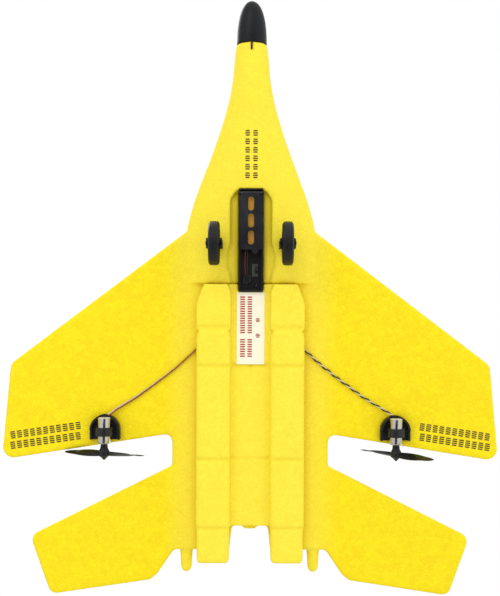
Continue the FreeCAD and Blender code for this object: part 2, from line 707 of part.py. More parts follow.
def battery():
    """A soft flat cell in its wrap."""
    half = cell("battery_half")
    block = box("cell_block", (-half, cell("battery_front"), cell("battery_bottom")),
                (half, cell("battery_back"), cell("battery_top")))
    return rounded("cell_round", block, cell("battery_round"),
                   lambda edge, middle: abs(edge.tangentAt(edge.FirstParameter).y) > 0.9)


def deck_cuts():
    """The openings of the deck for the switch, the lead plug and the lamp."""
    low, high = cell("deck_bottom") - 1.0, cell("deck_bottom") + 3.0
    half_switch, half_length = cell("switch_width") * 0.5, cell("switch_length") * 0.5
    switch = box("deck_switch_cut", (cell("switch_x") - half_switch, cell("switch_y") - half_length, low),
                 (cell("switch_x") + half_switch, cell("switch_y") + half_length, high))
    half_plug, half_depth = cell("plug_width") * 0.5 + 0.25, cell("plug_length") * 0.5 + 0.3
    plug = box("deck_plug_cut", (cell("plug_x") - half_plug, cell("plug_y") - half_depth, low),
               (cell("plug_x") + half_plug, cell("plug_y") + half_depth, high))
    lamp = rod("deck_lamp_cut", cell("lamp_radius") + 0.05, 4.0, (cell("lamp_x"), cell("lamp_y"), low), "Z")
    leads = box("deck_lead_cut", (cell("red_lead_x") - 1.3, cell("partition_y") + 1.2, low),
                (cell("black_lead_x") + 0.9, cell("partition_y") + 4.2, high))
    return switch, plug, lamp, leads


def box_deck():
    """The panel inside the rear room that carries the switch."""
    inner = cell("box_half") - cell("box_wall")
    wall = cell("box_wall")
    body = new_body("deck_body")
    sketch = new_sketch(body, "deck_outline", "XY_Plane", cell("deck_bottom"))
    polygon(sketch, [(-inner, cell("partition_y") + wall), (inner, cell("partition_y") + wall),
                     (inner, cell("box_back") - wall), (-inner, cell("box_back") - wall)])
    pad(body, sketch, cell("deck_thick"))
    return cut("deck", body, *deck_cuts())


def receiver_board():
    """The circuit board across the rear room, held between the long walls."""
    inner = cell("box_half") - cell("box_wall")
    body = new_body("board_body")
    sketch = new_sketch(body, "board_outline", "XY_Plane", cell("board_bottom"))
    polygon(sketch, [(-inner, cell("partition_y") + 2.1), (inner, cell("partition_y") + 2.1),
                     (inner, cell("box_back") - 3.1), (-inner, cell("box_back") - 3.1)])
    pad(body, sketch, cell("board_thick"))
    return body


def board_components():
    """Chips and small parts soldered on top of the board."""
    top = cell("board_bottom") + cell("board_thick")
    chips = [  # middle x, middle y, width, length, height
        (-3.0, -24.5, 4.0, 4.0, 0.9), (3.4, -25.0, 3.4, 5.0, 1.3), (-3.6, -14.0, 3.0, 3.0, 0.8),
        (1.0, -17.0, 2.4, 1.6, 0.8), (4.8, -17.5, 1.6, 3.0, 0.7), (-4.8, -29.0, 1.8, 1.2, 0.6),
        (0.6, -29.5, 3.2, 1.4, 0.9), (5.2, -11.5, 1.6, 0.9, 0.5), (1.4, -11.0, 1.6, 0.9, 0.5),
    ]
    blocks = []
    for number, (x, y, width, length, height) in enumerate(chips):
        low = (x - width / 2, y - length / 2, top)
        high = (x + width / 2, y + length / 2, top + height)
        blocks.append(box(f"chip_{number}", low, high))
    return fuse("components", *blocks)


def lead_plug():
    """The small two-way plug on the end of the battery leads, with its latch rib."""
    x, y, low = cell("plug_x"), cell("plug_y"), cell("plug_bottom")
    half, half_length = cell("plug_width") * 0.5, cell("plug_length") * 0.5
    block = box("plug_block", (x - half, y - half_length, low), (x + half, y + half_length, cell("plug_top")))
    rib = box("plug_rib", (x - 1.0, y + 1.2, low - 0.4), (x + 1.0, y + 2.6, low + 0.2))
    return fuse("plug", block, rib)


def board_socket():
    """The socket that hangs from the board over the plug."""
    x, y = cell("plug_x"), cell("plug_y")
    half, half_length = cell("plug_width") * 0.5 + 0.2, cell("plug_length") * 0.5 + 0.2
    return box("socket", (x - half, y - half_length, cell("plug_top")),
               (x + half, y + half_length, cell("board_bottom")))


def switch_body():
    """The metal case of the slide switch with the slot its knob runs in."""
    half, half_length = cell("switch_width") * 0.5, cell("switch_length") * 0.5
    x, y = cell("switch_x"), cell("switch_y")
    low = cell("deck_bottom") - 0.3
    case = box("switch_case", (x - half, y - half_length, low), (x + half, y + half_length, low + 4.6))
    slot_half = cell("switch_slot") * 0.5
    reach = (cell("knob_length") + cell("knob_travel")) * 0.5 + 0.05
    slot = box("switch_slot_cut", (cell("slot_x") - slot_half, y - reach, low - 1.0),
               (cell("slot_x") + slot_half, y + reach, low + 2.4))
    return cut("switch_shell", case, slot)


def switch_knob():
    """The knob, at the front end of its slot when the aircraft is switched off."""
    half = cell("switch_slot") * 0.5 - 0.05
    x, low = cell("slot_x"), cell("deck_bottom") - 1.9
    front = cell("switch_y") - (cell("knob_length") + cell("knob_travel")) * 0.5
    return box("knob", (x - half, front, low), (x + half, front + cell("knob_length"), low + 3.9))


def status_led():
    """A round lamp with a domed end, soldered to the board."""
    foot = (cell("lamp_x"), cell("lamp_y"), cell("lamp_bottom"))
    barrel = rod("lamp_barrel", cell("lamp_radius"), cell("board_bottom") - cell("lamp_bottom"), foot, "Z")
    dome = doc.addObject("Part::Sphere", "lamp_dome")
    bind(dome, "Radius", cell("lamp_radius"))
    return fuse("lamp", barrel, place(dome, foot))


def belly_label():
    half, floor = cell("label_half"), cell("tunnel_floor")
    return box("label", (-half, cell("label_front"), floor - cell("label_thick")),
               (half, cell("label_back"), floor))


# ---------------------------------------------------------------------------------------------------------
# Wires
# ---------------------------------------------------------------------------------------------------------
def wire_along(name, points, radius, step=1.5):
    """A round wire whose middle line passes through the points, lofted from a ring every step along it."""
    path = Part.BSplineCurve()
    path.interpolate(points)
    line = path.toShape()
    rings = []
    for point in line.discretize(round(line.Length / step) + 1):
        heading = path.tangent(path.parameter(point))[0]
        rings.append(Part.Wire(Part.Circle(point, heading, radius).toShape()))
    feature = doc.addObject("Part::Feature", name)
    feature.Shape = Part.makeLoft(rings, True, False)
    feature.Placement = Placement()
    return feature


def along_route(route, distance):
    """The place and the heading at a distance along a route made of straight legs."""
    for start, end in zip(route, route[1:]):
        leg = end - start
        if distance <= leg.Length or end is route[-1]:
            heading = Vector(leg).normalize()
            return start + heading * distance, heading
        distance -= leg.Length


def wire_beside(name, points, aside):
    """One wire of a pair, held to one side of the pair's middle line."""
    step = 4.0
    route = [Vector(*point) for point in points]
    length = sum((end - start).Length for start, end in zip(route, route[1:]))
    steps = round(length / step)
    run = []
    for number in range(steps + 1):
        middle, heading = along_route(route, length * number / steps)
        across = heading.cross(Vector(0, 0, 1)).normalize()
        run.append(middle + across * aside)
    return wire_along(name, run, number_of(cell("strand_radius")), step)


def motor_wires():
    """The left pair, from the board to the front of the motor, and the same pair on the right."""
    z, motor = number_of(cell("wire_z")), number_of(cell("motor_x"))
    can = number_of(cell("can_front"))
    path = [
        (*WIRE_EXIT, z), (*WIRE_BEND, z), (*WIRE_SIDE, z),
        (54.0, 51.0, z), (68.0, 61.6, z), (81.0, 71.0, z),  # hanging a little slack under the wing
        (motor - 0.6, can - 1.3, z - 2.9),
    ]
    over = [(-x, y, height) for x, y, height in path]
    spread = number_of(cell("wire_spread"))
    for side, route, colours in (("left", path, ("black", "white")), ("right", over, ("red", "white"))):
        for colour, aside in zip(colours, (spread, -spread)):
            name = f"motor_wire_{side}_{colour}"
            keep(name, wire_beside(name + "_run", route, aside))


def battery_leads():
    """Two thin leads from the battery, under the partition, to the plug on the board."""
    radius = number_of(cell("lead_radius"))
    rear = number_of(cell("battery_back"))
    plug = number_of(cell("plug_y") - cell("plug_length") * 0.5)
    low = number_of(cell("partition_foot")) - 1.4
    for colour in ("red", "black"):
        x = number_of(cell(colour + "_lead_x"))
        points = [
            Vector(x, rear + 0.7, low + 5.8), Vector(x, rear + 0.7, low + 3.3),
            Vector(x, rear + 0.8, low + 1.4), Vector(x, rear + 1.7, low + 0.2), Vector(x, rear + 5.0, low),
            Vector(x - 0.3, rear + 11.0, low + 0.5), Vector(x, plug - 3.1, low + 1.3),
            Vector(x, plug - 0.05, low + 1.3),
        ]
        keep(f"battery_lead_{colour}", wire_along(f"lead_{colour}", points, radius))


def antenna_wire():
    """The thin aerial, looped once over the board."""
    z = number_of(cell("antenna_z"))
    side, corner = 6.35, 3.5  # how far out the loop's legs and its far corners lie
    points = [
        Vector(side - 1.0, -8.0, z - 1.2), Vector(side, -12.0, z - 0.4), Vector(side, -24.0, z),
        Vector(corner, -30.6, z), Vector(-corner, -30.6, z), Vector(-side, -24.0, z), Vector(-side, -12.0, z),
    ]
    keep("antenna_wire", wire_along("antenna", points, number_of(cell("antenna_radius"))))


# ---------------------------------------------------------------------------------------------------------
# Motors and propellers
# ---------------------------------------------------------------------------------------------------------
def motor_mount():
    """The D-shaped mount under the wing: a base, a rim round its front and a sleeve for the motor."""
    x, z, radius = cell("motor_x"), cell("motor_z"), cell("mount_radius")
    middle = cell("mount_front") + radius
    base_low = cell("plate_bottom") - cell("mount_plate")
    rim_low = base_low - cell("mount_rim")
    disc = rod("mount_disc", radius, cell("mount_plate"), (x, middle, base_low), "Z")
    slab = box("mount_slab", (x - radius, middle, base_low),
               (x + radius, cell("mount_back"), cell("plate_bottom")))
    rim = tube("mount_rim_ring", radius, radius - cell("mount_wall"), cell("mount_rim") + 0.5,
               (x, middle, rim_low), "Z")
    rear_half = box("mount_rear_half", (x - radius * 2.0, middle, rim_low - 1.0),
                    (x + radius * 2.0, middle + radius * 2.0, base_low + 1.0))
    half_rim = cut("mount_rim_front", rim, rear_half)
    rails = [box("mount_rail_" + side, (low, middle - 0.2, rim_low + 1.5),
                 (low + cell("mount_wall"), cell("mount_back"), base_low + 0.5))
             for side, low in (("inner", x - radius), ("outer", x + radius - cell("mount_wall")))]
    bore = cell("can_radius") + cell("can_clearance")
    sleeve = rod("mount_sleeve", cell("can_radius") + cell("sleeve_wall"), cell("sleeve_length"),
                 (x, cell("sleeve_front"), z))
    gussets = [box(f"mount_gusset_{number}", (x - 6.6, cell("sleeve_front") + rise, z + 1.6),
                   (x + 6.6, cell("sleeve_front") + rise + 1.2, base_low + 0.5))
               for number, rise in enumerate((0.8, 4.0))]
    hole = rod("mount_bore", bore, 30.0, (x, cell("mount_front") - 5.0, z))
    wire_hole = box("mount_wire_hole", (x - 4.2, cell("mount_front") - 1.0, rim_low + 0.8),
                    (x + 2.0, cell("mount_front") + 2.6, base_low))
    behind = box("mount_behind", (x - radius * 2.0, cell("mount_back"), 0.0),
                 (x + radius * 2.0, cell("mount_back") + radius, cell("plate_bottom") + 1.0))
    solid = fuse("mount_solid", disc, slab, half_rim, sleeve, *rails, *gussets)
    return cut("mount", solid, hole, wire_hole, behind)


def motor_parts():
    """The pieces of the left coreless motor, from the outside in, all turned about its axis."""
    x, z = cell("motor_x"), cell("motor_z")
    front, length = cell("can_front"), cell("can_length")
    back = front + length
    outer, bore = cell("can_radius"), cell("can_radius") - cell("can_wall")
    shaft, free = cell("shaft_radius"), cell("shaft_radius") + cell("bush_clearance")
    nose, seat = cell("bush_radius"), cell("bush_length")
    coil_outer, coil_wall = bore - 0.55, 0.5
    can = revolved("can_turned", x, z, [
        (front, bore), (front, outer), (back - 0.5, outer), (back, outer - 0.5), (back, nose),
        (back - 0.6, nose), (back - 0.6, bore),
    ])
    end_cap = revolved("end_cap_turned", x, z, [
        (front, nose), (front + seat, nose), (front + seat, bore), (front, bore),
    ])
    magnet = revolved("magnet_turned", x, z, [
        (front + 6.0, nose), (back - 0.6, nose), (back - 0.6, nose + 0.9), (front + 6.0, nose + 0.9),
    ])
    front_bush = tube("front_bush", nose, free, seat, (x, front, z))
    rear_bush = tube("rear_bush", nose, free, seat, (x, back - seat, z))
    brushes = [box(f"brush_{side}", (x + low, front + seat, z - 0.4), (x + low + 0.3, front + 3.6, z + 0.4))
               for side, low in (("inner", -1.6), ("outer", 1.3))]
    spindle = rod("shaft_rod", shaft, cell("shaft_end") - front - 0.2, (x, front + 0.2, z))
    commutator = tube("commutator", 1.2, shaft, 3.6, (x, front + 1.9, z))
    coil_front, coil_back = front + 5.0, back - 1.2
    coil = revolved("coil_turned", x, z, [
        (coil_front, shaft), (coil_front, coil_outer), (coil_back, coil_outer),
        (coil_back, coil_outer - coil_wall), (coil_front + 0.6, coil_outer - coil_wall),
        (coil_front + 0.6, shaft),
    ])
    return {
        "motor_can": can, "motor_end_cap": end_cap, "motor_magnet": magnet,
        "motor_bushes": fuse("bushes", front_bush, rear_bush), "motor_brushes": fuse("brushes", *brushes),
        "motor_rotor": fuse("rotor", commutator, coil), "motor_shaft": spindle,
    }


def blade(name, direction, roll):
    """One blade: ovals strung along the radius, broad and steep at the root, fine and flat at the tip."""
    hub_x, hub_y, hub_z = (number_of(cell(size)) for size in ("motor_x", "prop_y", "motor_z"))
    reach = number_of(cell("prop_radius"))
    outward = Rotation(Vector(0, 1, 0), roll if direction > 0 else roll + 180)
    stations = [  # share of the radius, chord, thickness, pitch angle
        (0.06, 4.2, 2.4, 42), (0.22, 6.0, 1.7, 36), (0.42, 7.6, 1.3, 27), (0.62, 7.4, 1.1, 20),
        (0.82, 6.0, 0.9, 15), (0.95, 3.9, 0.7, 12), (1.0, 1.6, 0.4, 11),
    ]
    ovals = []
    for number, (share, chord, thick, pitch) in enumerate(stations):
        oval = doc.addObject("Part::Ellipse", f"{name}_oval_{number}")
        bind(oval, "MajorRadius", chord / 2)
        bind(oval, "MinorRadius", thick / 2)
        across_blade = Rotation(Vector(0, 1, 0), 90)
        turned = Rotation(Vector(1, 0, 0), pitch)
        middle = Vector(hub_x, hub_y, hub_z) + outward.multVec(Vector(reach * share, 0, 0))
        oval.Placement = Placement(middle, outward.multiply(turned).multiply(across_blade))
        ovals.append(oval)
    loft = doc.addObject("Part::Loft", name)
    loft.Sections = ovals
    loft.Solid = True
    return loft


def propeller(name, roll):
    """A two-blade pusher propeller on the left motor, turned to the given angle."""
    x, z, radius = cell("motor_x"), cell("motor_z"), cell("prop_hub_radius")
    front, back = cell("prop_hub_front"), cell("prop_hub_back")
    hub = revolved(name + "_hub", x, z, [
        (front, 0.0), (front, radius * 0.62), (front + 2.4, radius * 0.68), (cell("prop_y") - 1.4, radius),
        (cell("prop_y") + 1.2, radius), (back - 1.2, radius * 0.42), (back, radius * 0.16), (back, 0.0),
    ])
    solid = fuse(name + "_solid", hub, blade(name + "_one", 1, roll), blade(name + "_two", -1, roll))
    hole = rod(name + "_bore", cell("shaft_radius"), cell("shaft_end") - front + 1.0, (x, front - 1.0, z))
    return cut(name + "_bored", solid, hole)


# ---------------------------------------------------------------------------------------------------------
# Landing gear
# ---------------------------------------------------------------------------------------------------------
def gear_strut():
    """The left fork: two ears, a crown above the tyre and a stem glued into the foam."""
    x, y, axle_z = cell("wheel_x"), cell("wheel_y"), cell("wheel_radius")
    half, ear, crown = cell("fork_width") * 0.5, cell("fork_ear"), cell("crown_bottom")
    sides = []
    for side, low in (("outer", x + half - ear), ("inner", x - half)):
        eye = rod("fork_eye_" + side, cell("ear_radius"), ear, (low, y, axle_z), "X")
        leg = box("fork_leg_" + side, (low, y - cell("ear_radius") * 0.62, axle_z),
                  (low + ear, y + cell("ear_radius") * 0.62, crown + 0.5))
        sides += [eye, leg]
    bridge = box("fork_crown", (x - half, y - cell("ear_radius") * 0.8, crown),
                 (x + half, y + cell("ear_radius") * 0.8, crown + cell("crown_height")))
    stem = rod("fork_stem", cell("stem_radius"), cell("stem_top") - crown, (x, y, crown), "Z")
    bore = rod("fork_bore", cell("axle_radius"), cell("fork_width"), (x - half, y, axle_z), "X")
    return cut("fork", fuse("fork_solid", *sides, bridge, stem), bore)


def tyre():
    """The tyre: a thick ring with rounded shoulders."""
    x, y, radius = cell("wheel_x"), cell("wheel_y"), cell("wheel_radius")
    half = cell("tyre_width") * 0.5
    ring = tube("tyre_ring", radius, cell("rim_radius"), half * 2.0, (x - half, y, radius), "X")
    outer = number_of(radius)
    return rounded("tyre_round", ring, 1.9,
                   lambda edge, middle: getattr(edge.Curve, "Radius", 0) > outer - 0.1)


def wheel_hub():
    """The wheel centre: a thin disc with a rim and a boss that keeps it between the ears."""
    x, y, axle_z = cell("wheel_x"), cell("wheel_y"), cell("wheel_radius")
    half, boss = cell("tyre_width") * 0.5, cell("hub_width") * 0.5
    rim_radius = cell("rim_radius")
    rim = tube("hub_rim", rim_radius, rim_radius - 1.3, half * 2.0, (x - half, y, axle_z), "X")
    disc = rod("hub_disc", cell("rim_radius") - 0.5, 1.6, (x - 0.8, y, axle_z), "X")
    centre = rod("hub_boss", 2.6, boss * 2.0, (x - boss, y, axle_z), "X")
    bore = rod("hub_bore", cell("axle_radius") + cell("axle_clearance"), boss * 2.0 + 2.0,
               (x - boss - 1.0, y, axle_z), "X")
    return cut("hub", fuse("hub_solid", rim, disc, centre), bore)


def wheel_axle():
    """A steel pin through fork and hub, with a flat head at each end."""
    x, y, axle_z = cell("wheel_x"), cell("wheel_y"), cell("wheel_radius")
    half, head = cell("fork_width") * 0.5, cell("axle_head")
    pin = rod("axle_pin", cell("axle_radius"), half * 2.0 + head, (x - half - head * 0.5, y, axle_z), "X")
    heads = [rod("axle_head_" + side, cell("axle_radius") * 1.9, head, (low, y, axle_z), "X")
             for side, low in (("outer", x + half), ("inner", x - half - head))]
    return fuse("axle", pin, *heads)


# ---------------------------------------------------------------------------------------------------------
# The whole aircraft
# ---------------------------------------------------------------------------------------------------------
PROP_ROLL = {"left": 43.0, "right": -16.0}  # how far each propeller rests below the level, outboard blade


def build():
    fill_sheet()
    keep("airframe_foam", airframe_foam())
    keep("belly_pod", belly_pod())
    keep("nose_cap", nose_cap())
    keep("battery_box", battery_box())
    keep("battery_cover", battery_cover())
    keep("cover_hinge_pin", hinge_pin())
    keep("battery", battery())
    keep("box_deck", box_deck())
    keep("receiver_board", receiver_board())
    keep("board_components", board_components())
    keep("battery_plug", lead_plug())
    keep("board_socket", board_socket())
    keep("switch_body", switch_body())
    keep("switch_knob", switch_knob())
    keep("status_led", status_led())
    keep("belly_label", belly_label())
    battery_leads()
    antenna_wire()
    motor_wires()
    left_only = {
        "fin": fin(), "motor_mount": motor_mount(), **motor_parts(),
        "gear_strut": gear_strut(), "wheel_tyre": tyre(), "wheel_hub": wheel_hub(),
        "wheel_axle": wheel_axle(),
    }
    for name, feature in left_only.items():
        keep(name + "_left", feature)
        keep(name + "_right", mirrored(name + "_mirror", feature))
    keep("propeller_left", propeller("prop_one", PROP_ROLL["left"]))
    keep("propeller_right", mirrored("prop_mirror", propeller("prop_two", PROP_ROLL["right"])))
    doc.recompute()


def check():
    """Stops the build if any feature has failed or any piece is not a sound solid."""
    faults = [feature.Name for feature in doc.Objects
              if any(word in ("Invalid", "Error") for word in feature.State)]
    for name, feature in nodes.items():
        shape = feature.Shape
        if shape.isNull() or not shape.isValid() or shape.Volume <= 0:
            faults.append(name)
    if faults:
        raise RuntimeError("these features did not build: " + ", ".join(faults))


def export():
    os.makedirs("parts", exist_ok=True)
    for name, feature in nodes.items():
        feature.Shape.exportStep(f"parts/{name}.step")


build()
check()
export()
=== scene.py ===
import math

import bmesh
import bpy
import numpy as np
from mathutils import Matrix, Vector
from mathutils.bvhtree import BVHTree


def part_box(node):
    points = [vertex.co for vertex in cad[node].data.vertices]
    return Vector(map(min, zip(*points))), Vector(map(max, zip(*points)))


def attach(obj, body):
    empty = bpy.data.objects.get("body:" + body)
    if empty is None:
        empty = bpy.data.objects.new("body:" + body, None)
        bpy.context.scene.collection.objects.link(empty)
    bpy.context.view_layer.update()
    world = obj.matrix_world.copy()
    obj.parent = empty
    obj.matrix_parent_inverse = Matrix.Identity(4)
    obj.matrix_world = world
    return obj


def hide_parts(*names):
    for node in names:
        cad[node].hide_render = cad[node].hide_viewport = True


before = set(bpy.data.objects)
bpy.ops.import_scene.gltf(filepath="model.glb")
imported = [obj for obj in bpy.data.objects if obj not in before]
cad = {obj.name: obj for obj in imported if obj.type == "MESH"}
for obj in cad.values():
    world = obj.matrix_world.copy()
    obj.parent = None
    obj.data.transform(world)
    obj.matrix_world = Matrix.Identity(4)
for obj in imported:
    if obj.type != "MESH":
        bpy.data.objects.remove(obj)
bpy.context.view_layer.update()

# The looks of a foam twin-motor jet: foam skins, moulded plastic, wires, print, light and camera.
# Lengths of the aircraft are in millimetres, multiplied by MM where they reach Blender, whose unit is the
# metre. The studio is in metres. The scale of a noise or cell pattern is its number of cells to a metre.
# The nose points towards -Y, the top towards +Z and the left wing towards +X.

MM = 0.001
BELOW, ABOVE = -1, 1
scene = bpy.context.scene


# ---------------------------------------------------------------------------------------------------------
# Node materials
# ---------------------------------------------------------------------------------------------------------
class Shader:
    """Builds one node material around a Principled surface."""

    def __init__(self, name):
        self.material = bpy.data.materials.new(name)
        self.material.use_nodes = True
        self.tree = self.material.node_tree
        self.surface = self.tree.nodes["Principled BSDF"]
        self.place = self.add("TexCoord").outputs["Object"]

    def put(self, socket, value):
        if isinstance(value, bpy.types.NodeSocket):
            self.tree.links.new(value, socket)
        else:
            socket.default_value = value

    def add(self, kind, inputs=None, **settings):
        node = self.tree.nodes.new("ShaderNode" + kind)
        for name, value in settings.items():
            setattr(node, name, value)
        for name, value in (inputs or {}).items():
            self.put(node.inputs[name], value)
        return node

    def math(self, operation, first, second=0.0, clamp=False):
        node = self.add("Math", {0: first, 1: second}, operation=operation, use_clamp=clamp)
        return node.outputs[0]

    def stretched(self, scale):
        """Object coordinates, stretched so that a pattern runs along one axis."""
        return self.add("Mapping", {"Vector": self.place, "Scale": scale}).outputs[0]

    def noise(self, scale, detail=2.0, rough=0.5, at=None):
        node = self.add("TexNoise", {"Vector": at or self.place, "Scale": scale, "Detail": detail,
                                     "Roughness": rough})
        return node.outputs[0]

    def cells(self, scale, output, feature="F1", at=None):
        node = self.add("TexVoronoi", {"Vector": at or self.place, "Scale": scale}, feature=feature)
        return node.outputs[output]

    def ramp(self, value, low, high, start=0.0, end=1.0):
        node = self.add("MapRange", {"Value": value, "From Min": low, "From Max": high, "To Min": start,
                                     "To Max": end}, interpolation_type="SMOOTHSTEP")
        return node.outputs["Result"]

    def blend(self, share, first, second):
        """A colour between two colours."""
        node = self.add("Mix", data_type="RGBA")
        self.put(node.inputs[0], share)
        self.put(node.inputs[6], first)
        self.put(node.inputs[7], second)
        return node.outputs[2]

    def bump(self, height, distance, strength=1.0, under=None):
        node = self.add("Bump", {"Height": height, "Distance": distance, "Strength": strength})
        if under is not None:
            self.put(node.inputs["Normal"], under)
        return node.outputs[0]

    def finish(self, colour, roughness, normal=None, metallic=0.0, **others):
        self.put(self.surface.inputs["Base Color"], colour)
        self.put(self.surface.inputs["Roughness"], roughness)
        self.put(self.surface.inputs["Metallic"], metallic)
        if normal is not None:
            self.put(self.surface.inputs["Normal"], normal)
        for name, value in others.items():
            self.put(self.surface.inputs[name.replace("_", " ")], value)
        return self.material


BEADS = 320.0            # beads of foam to a metre
BODY_EDGE = 50 * MM      # how far out the thick body reaches
BELLY_TOP = 50 * MM      # the height up to which the foam counts as belly


def rgb(red, green, blue):
    """A screen colour from 0 to 255, as the linear colour that a shader needs."""
    shares = [channel / 255 for channel in (red, green, blue)]
    linear = [s / 12.92 if s <= 0.04045 else ((s + 0.055) / 1.055) ** 2.4 for s in shares]
    return (*linear, 1.0)


# Paler yellow, for the painted highlight on the belly.
BELLY_HIGHLIGHT_YELLOW = rgb(255, 236, 84)


def bead_coordinates(s):
    """Object coordinates, pushed about a little so that the beads of foam get uneven outlines."""
    push = s.add("TexNoise", {"Vector": s.place, "Scale": 260.0, "Detail": 1.0}).outputs["Color"]
    small_push = s.add("VectorMath", {0: push, "Scale": 1.2 * MM}, operation="SCALE").outputs[0]
    return s.add("VectorMath", {0: s.place, 1: small_push}, operation="ADD").outputs[0]


def mottled_foam(s, wobble, fine, bright, deep):
    """The foam's own colour: every bead a little different, in drifting patches."""
    tone = s.add("SeparateColor", {"Color": s.cells(BEADS, "Color", at=wobble)}).outputs[0]
    patches = s.noise(90.0, detail=5.0, rough=0.65)
    share = s.math("ADD", s.math("MULTIPLY", tone, 0.26), s.math("MULTIPLY", patches, 0.52))
    share = s.math("ADD", share, s.math("MULTIPLY", fine, 0.22))
    return s.blend(s.ramp(share, 0.34, 0.70), bright, deep)


def painted_belly_highlight(s, colour):
    """Painted highlight: the thick middle of the belly is painted paler than the wings, where the light
    falls on it.
    """
    axes = s.add("SeparateXYZ", {"Vector": s.place}).outputs
    central = s.ramp(s.math("ABSOLUTE", axes["X"]), BODY_EDGE - 8 * MM, BODY_EDGE + 14 * MM, 0.5, 0.0)
    underneath = s.ramp(axes["Z"], BELLY_TOP - 6 * MM, BELLY_TOP, 1.0, 0.0)
    return s.blend(s.math("MULTIPLY", central, underneath), colour, BELLY_HIGHLIGHT_YELLOW)


def seams_specks_and_painted_shade(s, colour, seam, deep):
    """Darkens the seams between beads and a few specks, and paints shade into the hollows and the pressed
    lines.
    """
    seam_and_shade_olive = (deep[0] * 0.74, deep[1] * 0.70, deep[2] * 0.6, 1.0)
    speck = (deep[0] * 0.6, deep[1] * 0.56, deep[2], 1.0)
    seams = s.math("MULTIPLY", s.ramp(seam, 0.0, 0.09, 1.0, 0.0), 0.2)
    # Painted shade: ambient occlusion darkens hollows and creases towards olive.
    open_sky = s.add("AmbientOcclusion", {"Distance": 9 * MM}, samples=6).outputs["AO"]
    pressed = s.add("Attribute", attribute_name="pressed").outputs["Fac"]
    colour = s.blend(seams, colour, seam_and_shade_olive)
    colour = s.blend(s.ramp(open_sky, 0.35, 0.92, 0.62, 0.0), colour, seam_and_shade_olive)
    # Painted shade in the pressed panel lines.
    colour = s.blend(s.math("MULTIPLY", pressed, 0.22), colour, seam_and_shade_olive)
    return s.blend(s.ramp(s.noise(420.0, detail=1.0), 0.735, 0.80, 0.0, 0.2), colour, speck)


def foam_material(name, bright, deep, canopy=False):
    """Moulded bead foam: cells about 3 mm across, pressed flat, with fine seams and a mottled tone, painted
    shade in hollows and pressed lines and a painted highlight on the belly.
    """
    s = Shader(name)
    wobble = bead_coordinates(s)
    seam = s.cells(BEADS, "Distance", feature="DISTANCE_TO_EDGE", at=wobble)
    fine = s.noise(900.0, detail=3.0, rough=0.7)
    # The middle of the belly gets a painted highlight.
    colour = painted_belly_highlight(s, mottled_foam(s, wobble, fine, bright, deep))
    colour = seams_specks_and_painted_shade(s, colour, seam, deep)
    rough = s.ramp(fine, 0.2, 0.8, 0.58, 0.74)
    crown = s.bump(s.ramp(seam, 0.0, 0.22), 0.16 * MM, 0.4)
    grain = s.bump(fine, 0.12 * MM, 0.5, under=crown)
    if canopy:
        colour, rough = glazed_canopy(s, colour, rough, bright)
    return s.finish(colour, rough, grain, Specular_IOR_Level=0.25)


def glazed_canopy(s, colour, rough, frame_colour):
    """Paints dark glossy glazing and its frames over the foam of the hump."""
    glazed, frame_line = canopy_mask(s)
    colour = s.blend(glazed, colour, rgb(34, 38, 46))
    colour = s.blend(frame_line, colour, frame_colour)
    glass_share = s.math("SUBTRACT", glazed, frame_line, clamp=True)
    foam_rough = s.math("MULTIPLY", rough, s.math("SUBTRACT", 1.0, glass_share))
    return colour, s.math("ADD", foam_rough, s.math("MULTIPLY", glass_share, 0.16))


def canopy_mask(s):
    """Where the cockpit glazing is painted on the hump, and where its frames cross it."""
    middle, reach, half_width = -108.0 * MM, 27.0 * MM, 8.6 * MM
    glass_foot, frame_stations, frame_half = 58.6 * MM, (-119.0 * MM, -101.0 * MM), 0.45 * MM
    blur = 0.6 * MM
    axes = s.add("SeparateXYZ", {"Vector": s.place})
    across, along, height = (axes.outputs[axis] for axis in "XYZ")
    y = s.math("DIVIDE", s.math("SUBTRACT", along, middle), reach)
    x = s.math("DIVIDE", across, half_width)
    radius = s.math("ADD", s.math("MULTIPLY", x, x), s.math("MULTIPLY", y, y))
    above = s.ramp(height, glass_foot, glass_foot + blur)
    glazed = s.math("MULTIPLY", s.ramp(radius, 0.97, 1.0, 1.0, 0.0), above)
    bars = 0.0
    for station in frame_stations:
        offset = s.math("ABSOLUTE", s.math("SUBTRACT", along, station))
        bars = s.math("ADD", bars, s.ramp(offset, frame_half, frame_half + blur / 4, 1.0, 0.0))
    return glazed, s.math("MULTIPLY", bars, glazed, clamp=True)


def plastic_material(name, colour, rough=0.46, grain=0.5, gloss=0.5):
    """Moulded plastic with a fine spark-eroded grain, faint flow marks and slightly worn edges."""
    s = Shader(name)
    fine = s.noise(1400.0, detail=2.0, rough=0.6)
    flow = s.noise(60.0, detail=3.0, rough=0.55)
    edge = s.ramp(s.add("NewGeometry").outputs["Pointiness"], 0.51, 0.60, 0.0, 0.45)
    lighter = tuple(min(1.0, channel * 1.5 + 0.004) for channel in colour[:3]) + (1.0,)
    worn = tuple(min(1.0, channel * 2.4 + 0.012) for channel in colour[:3]) + (1.0,)
    tinted = s.blend(s.ramp(flow, 0.3, 0.75, 0.0, 0.35), colour, lighter)
    tinted = s.blend(edge, tinted, worn)
    roughness = s.ramp(flow, 0.25, 0.8, rough - 0.07, rough + 0.1)
    return s.finish(tinted, roughness, s.bump(fine, 0.06 * MM, grain), Specular_IOR_Level=gloss)


def rubber_material(name, colour):
    """Soft rubber with a dull sheen, fine pores and a dusty bloom."""
    s = Shader(name)
    rough = 0.44
    pores = s.cells(1500.0, "Distance")
    dust = s.noise(140.0, detail=4.0, rough=0.65)
    pale = tuple(channel * 1.4 + 0.004 for channel in colour[:3]) + (1.0,)
    tinted = s.blend(s.ramp(dust, 0.42, 0.75, 0.0, 0.5), colour, pale)
    roughness = s.ramp(dust, 0.3, 0.7, rough - 0.1, rough + 0.08)
    return s.finish(tinted, roughness, s.bump(pores, 0.08 * MM, 0.6), Specular_IOR_Level=0.36)


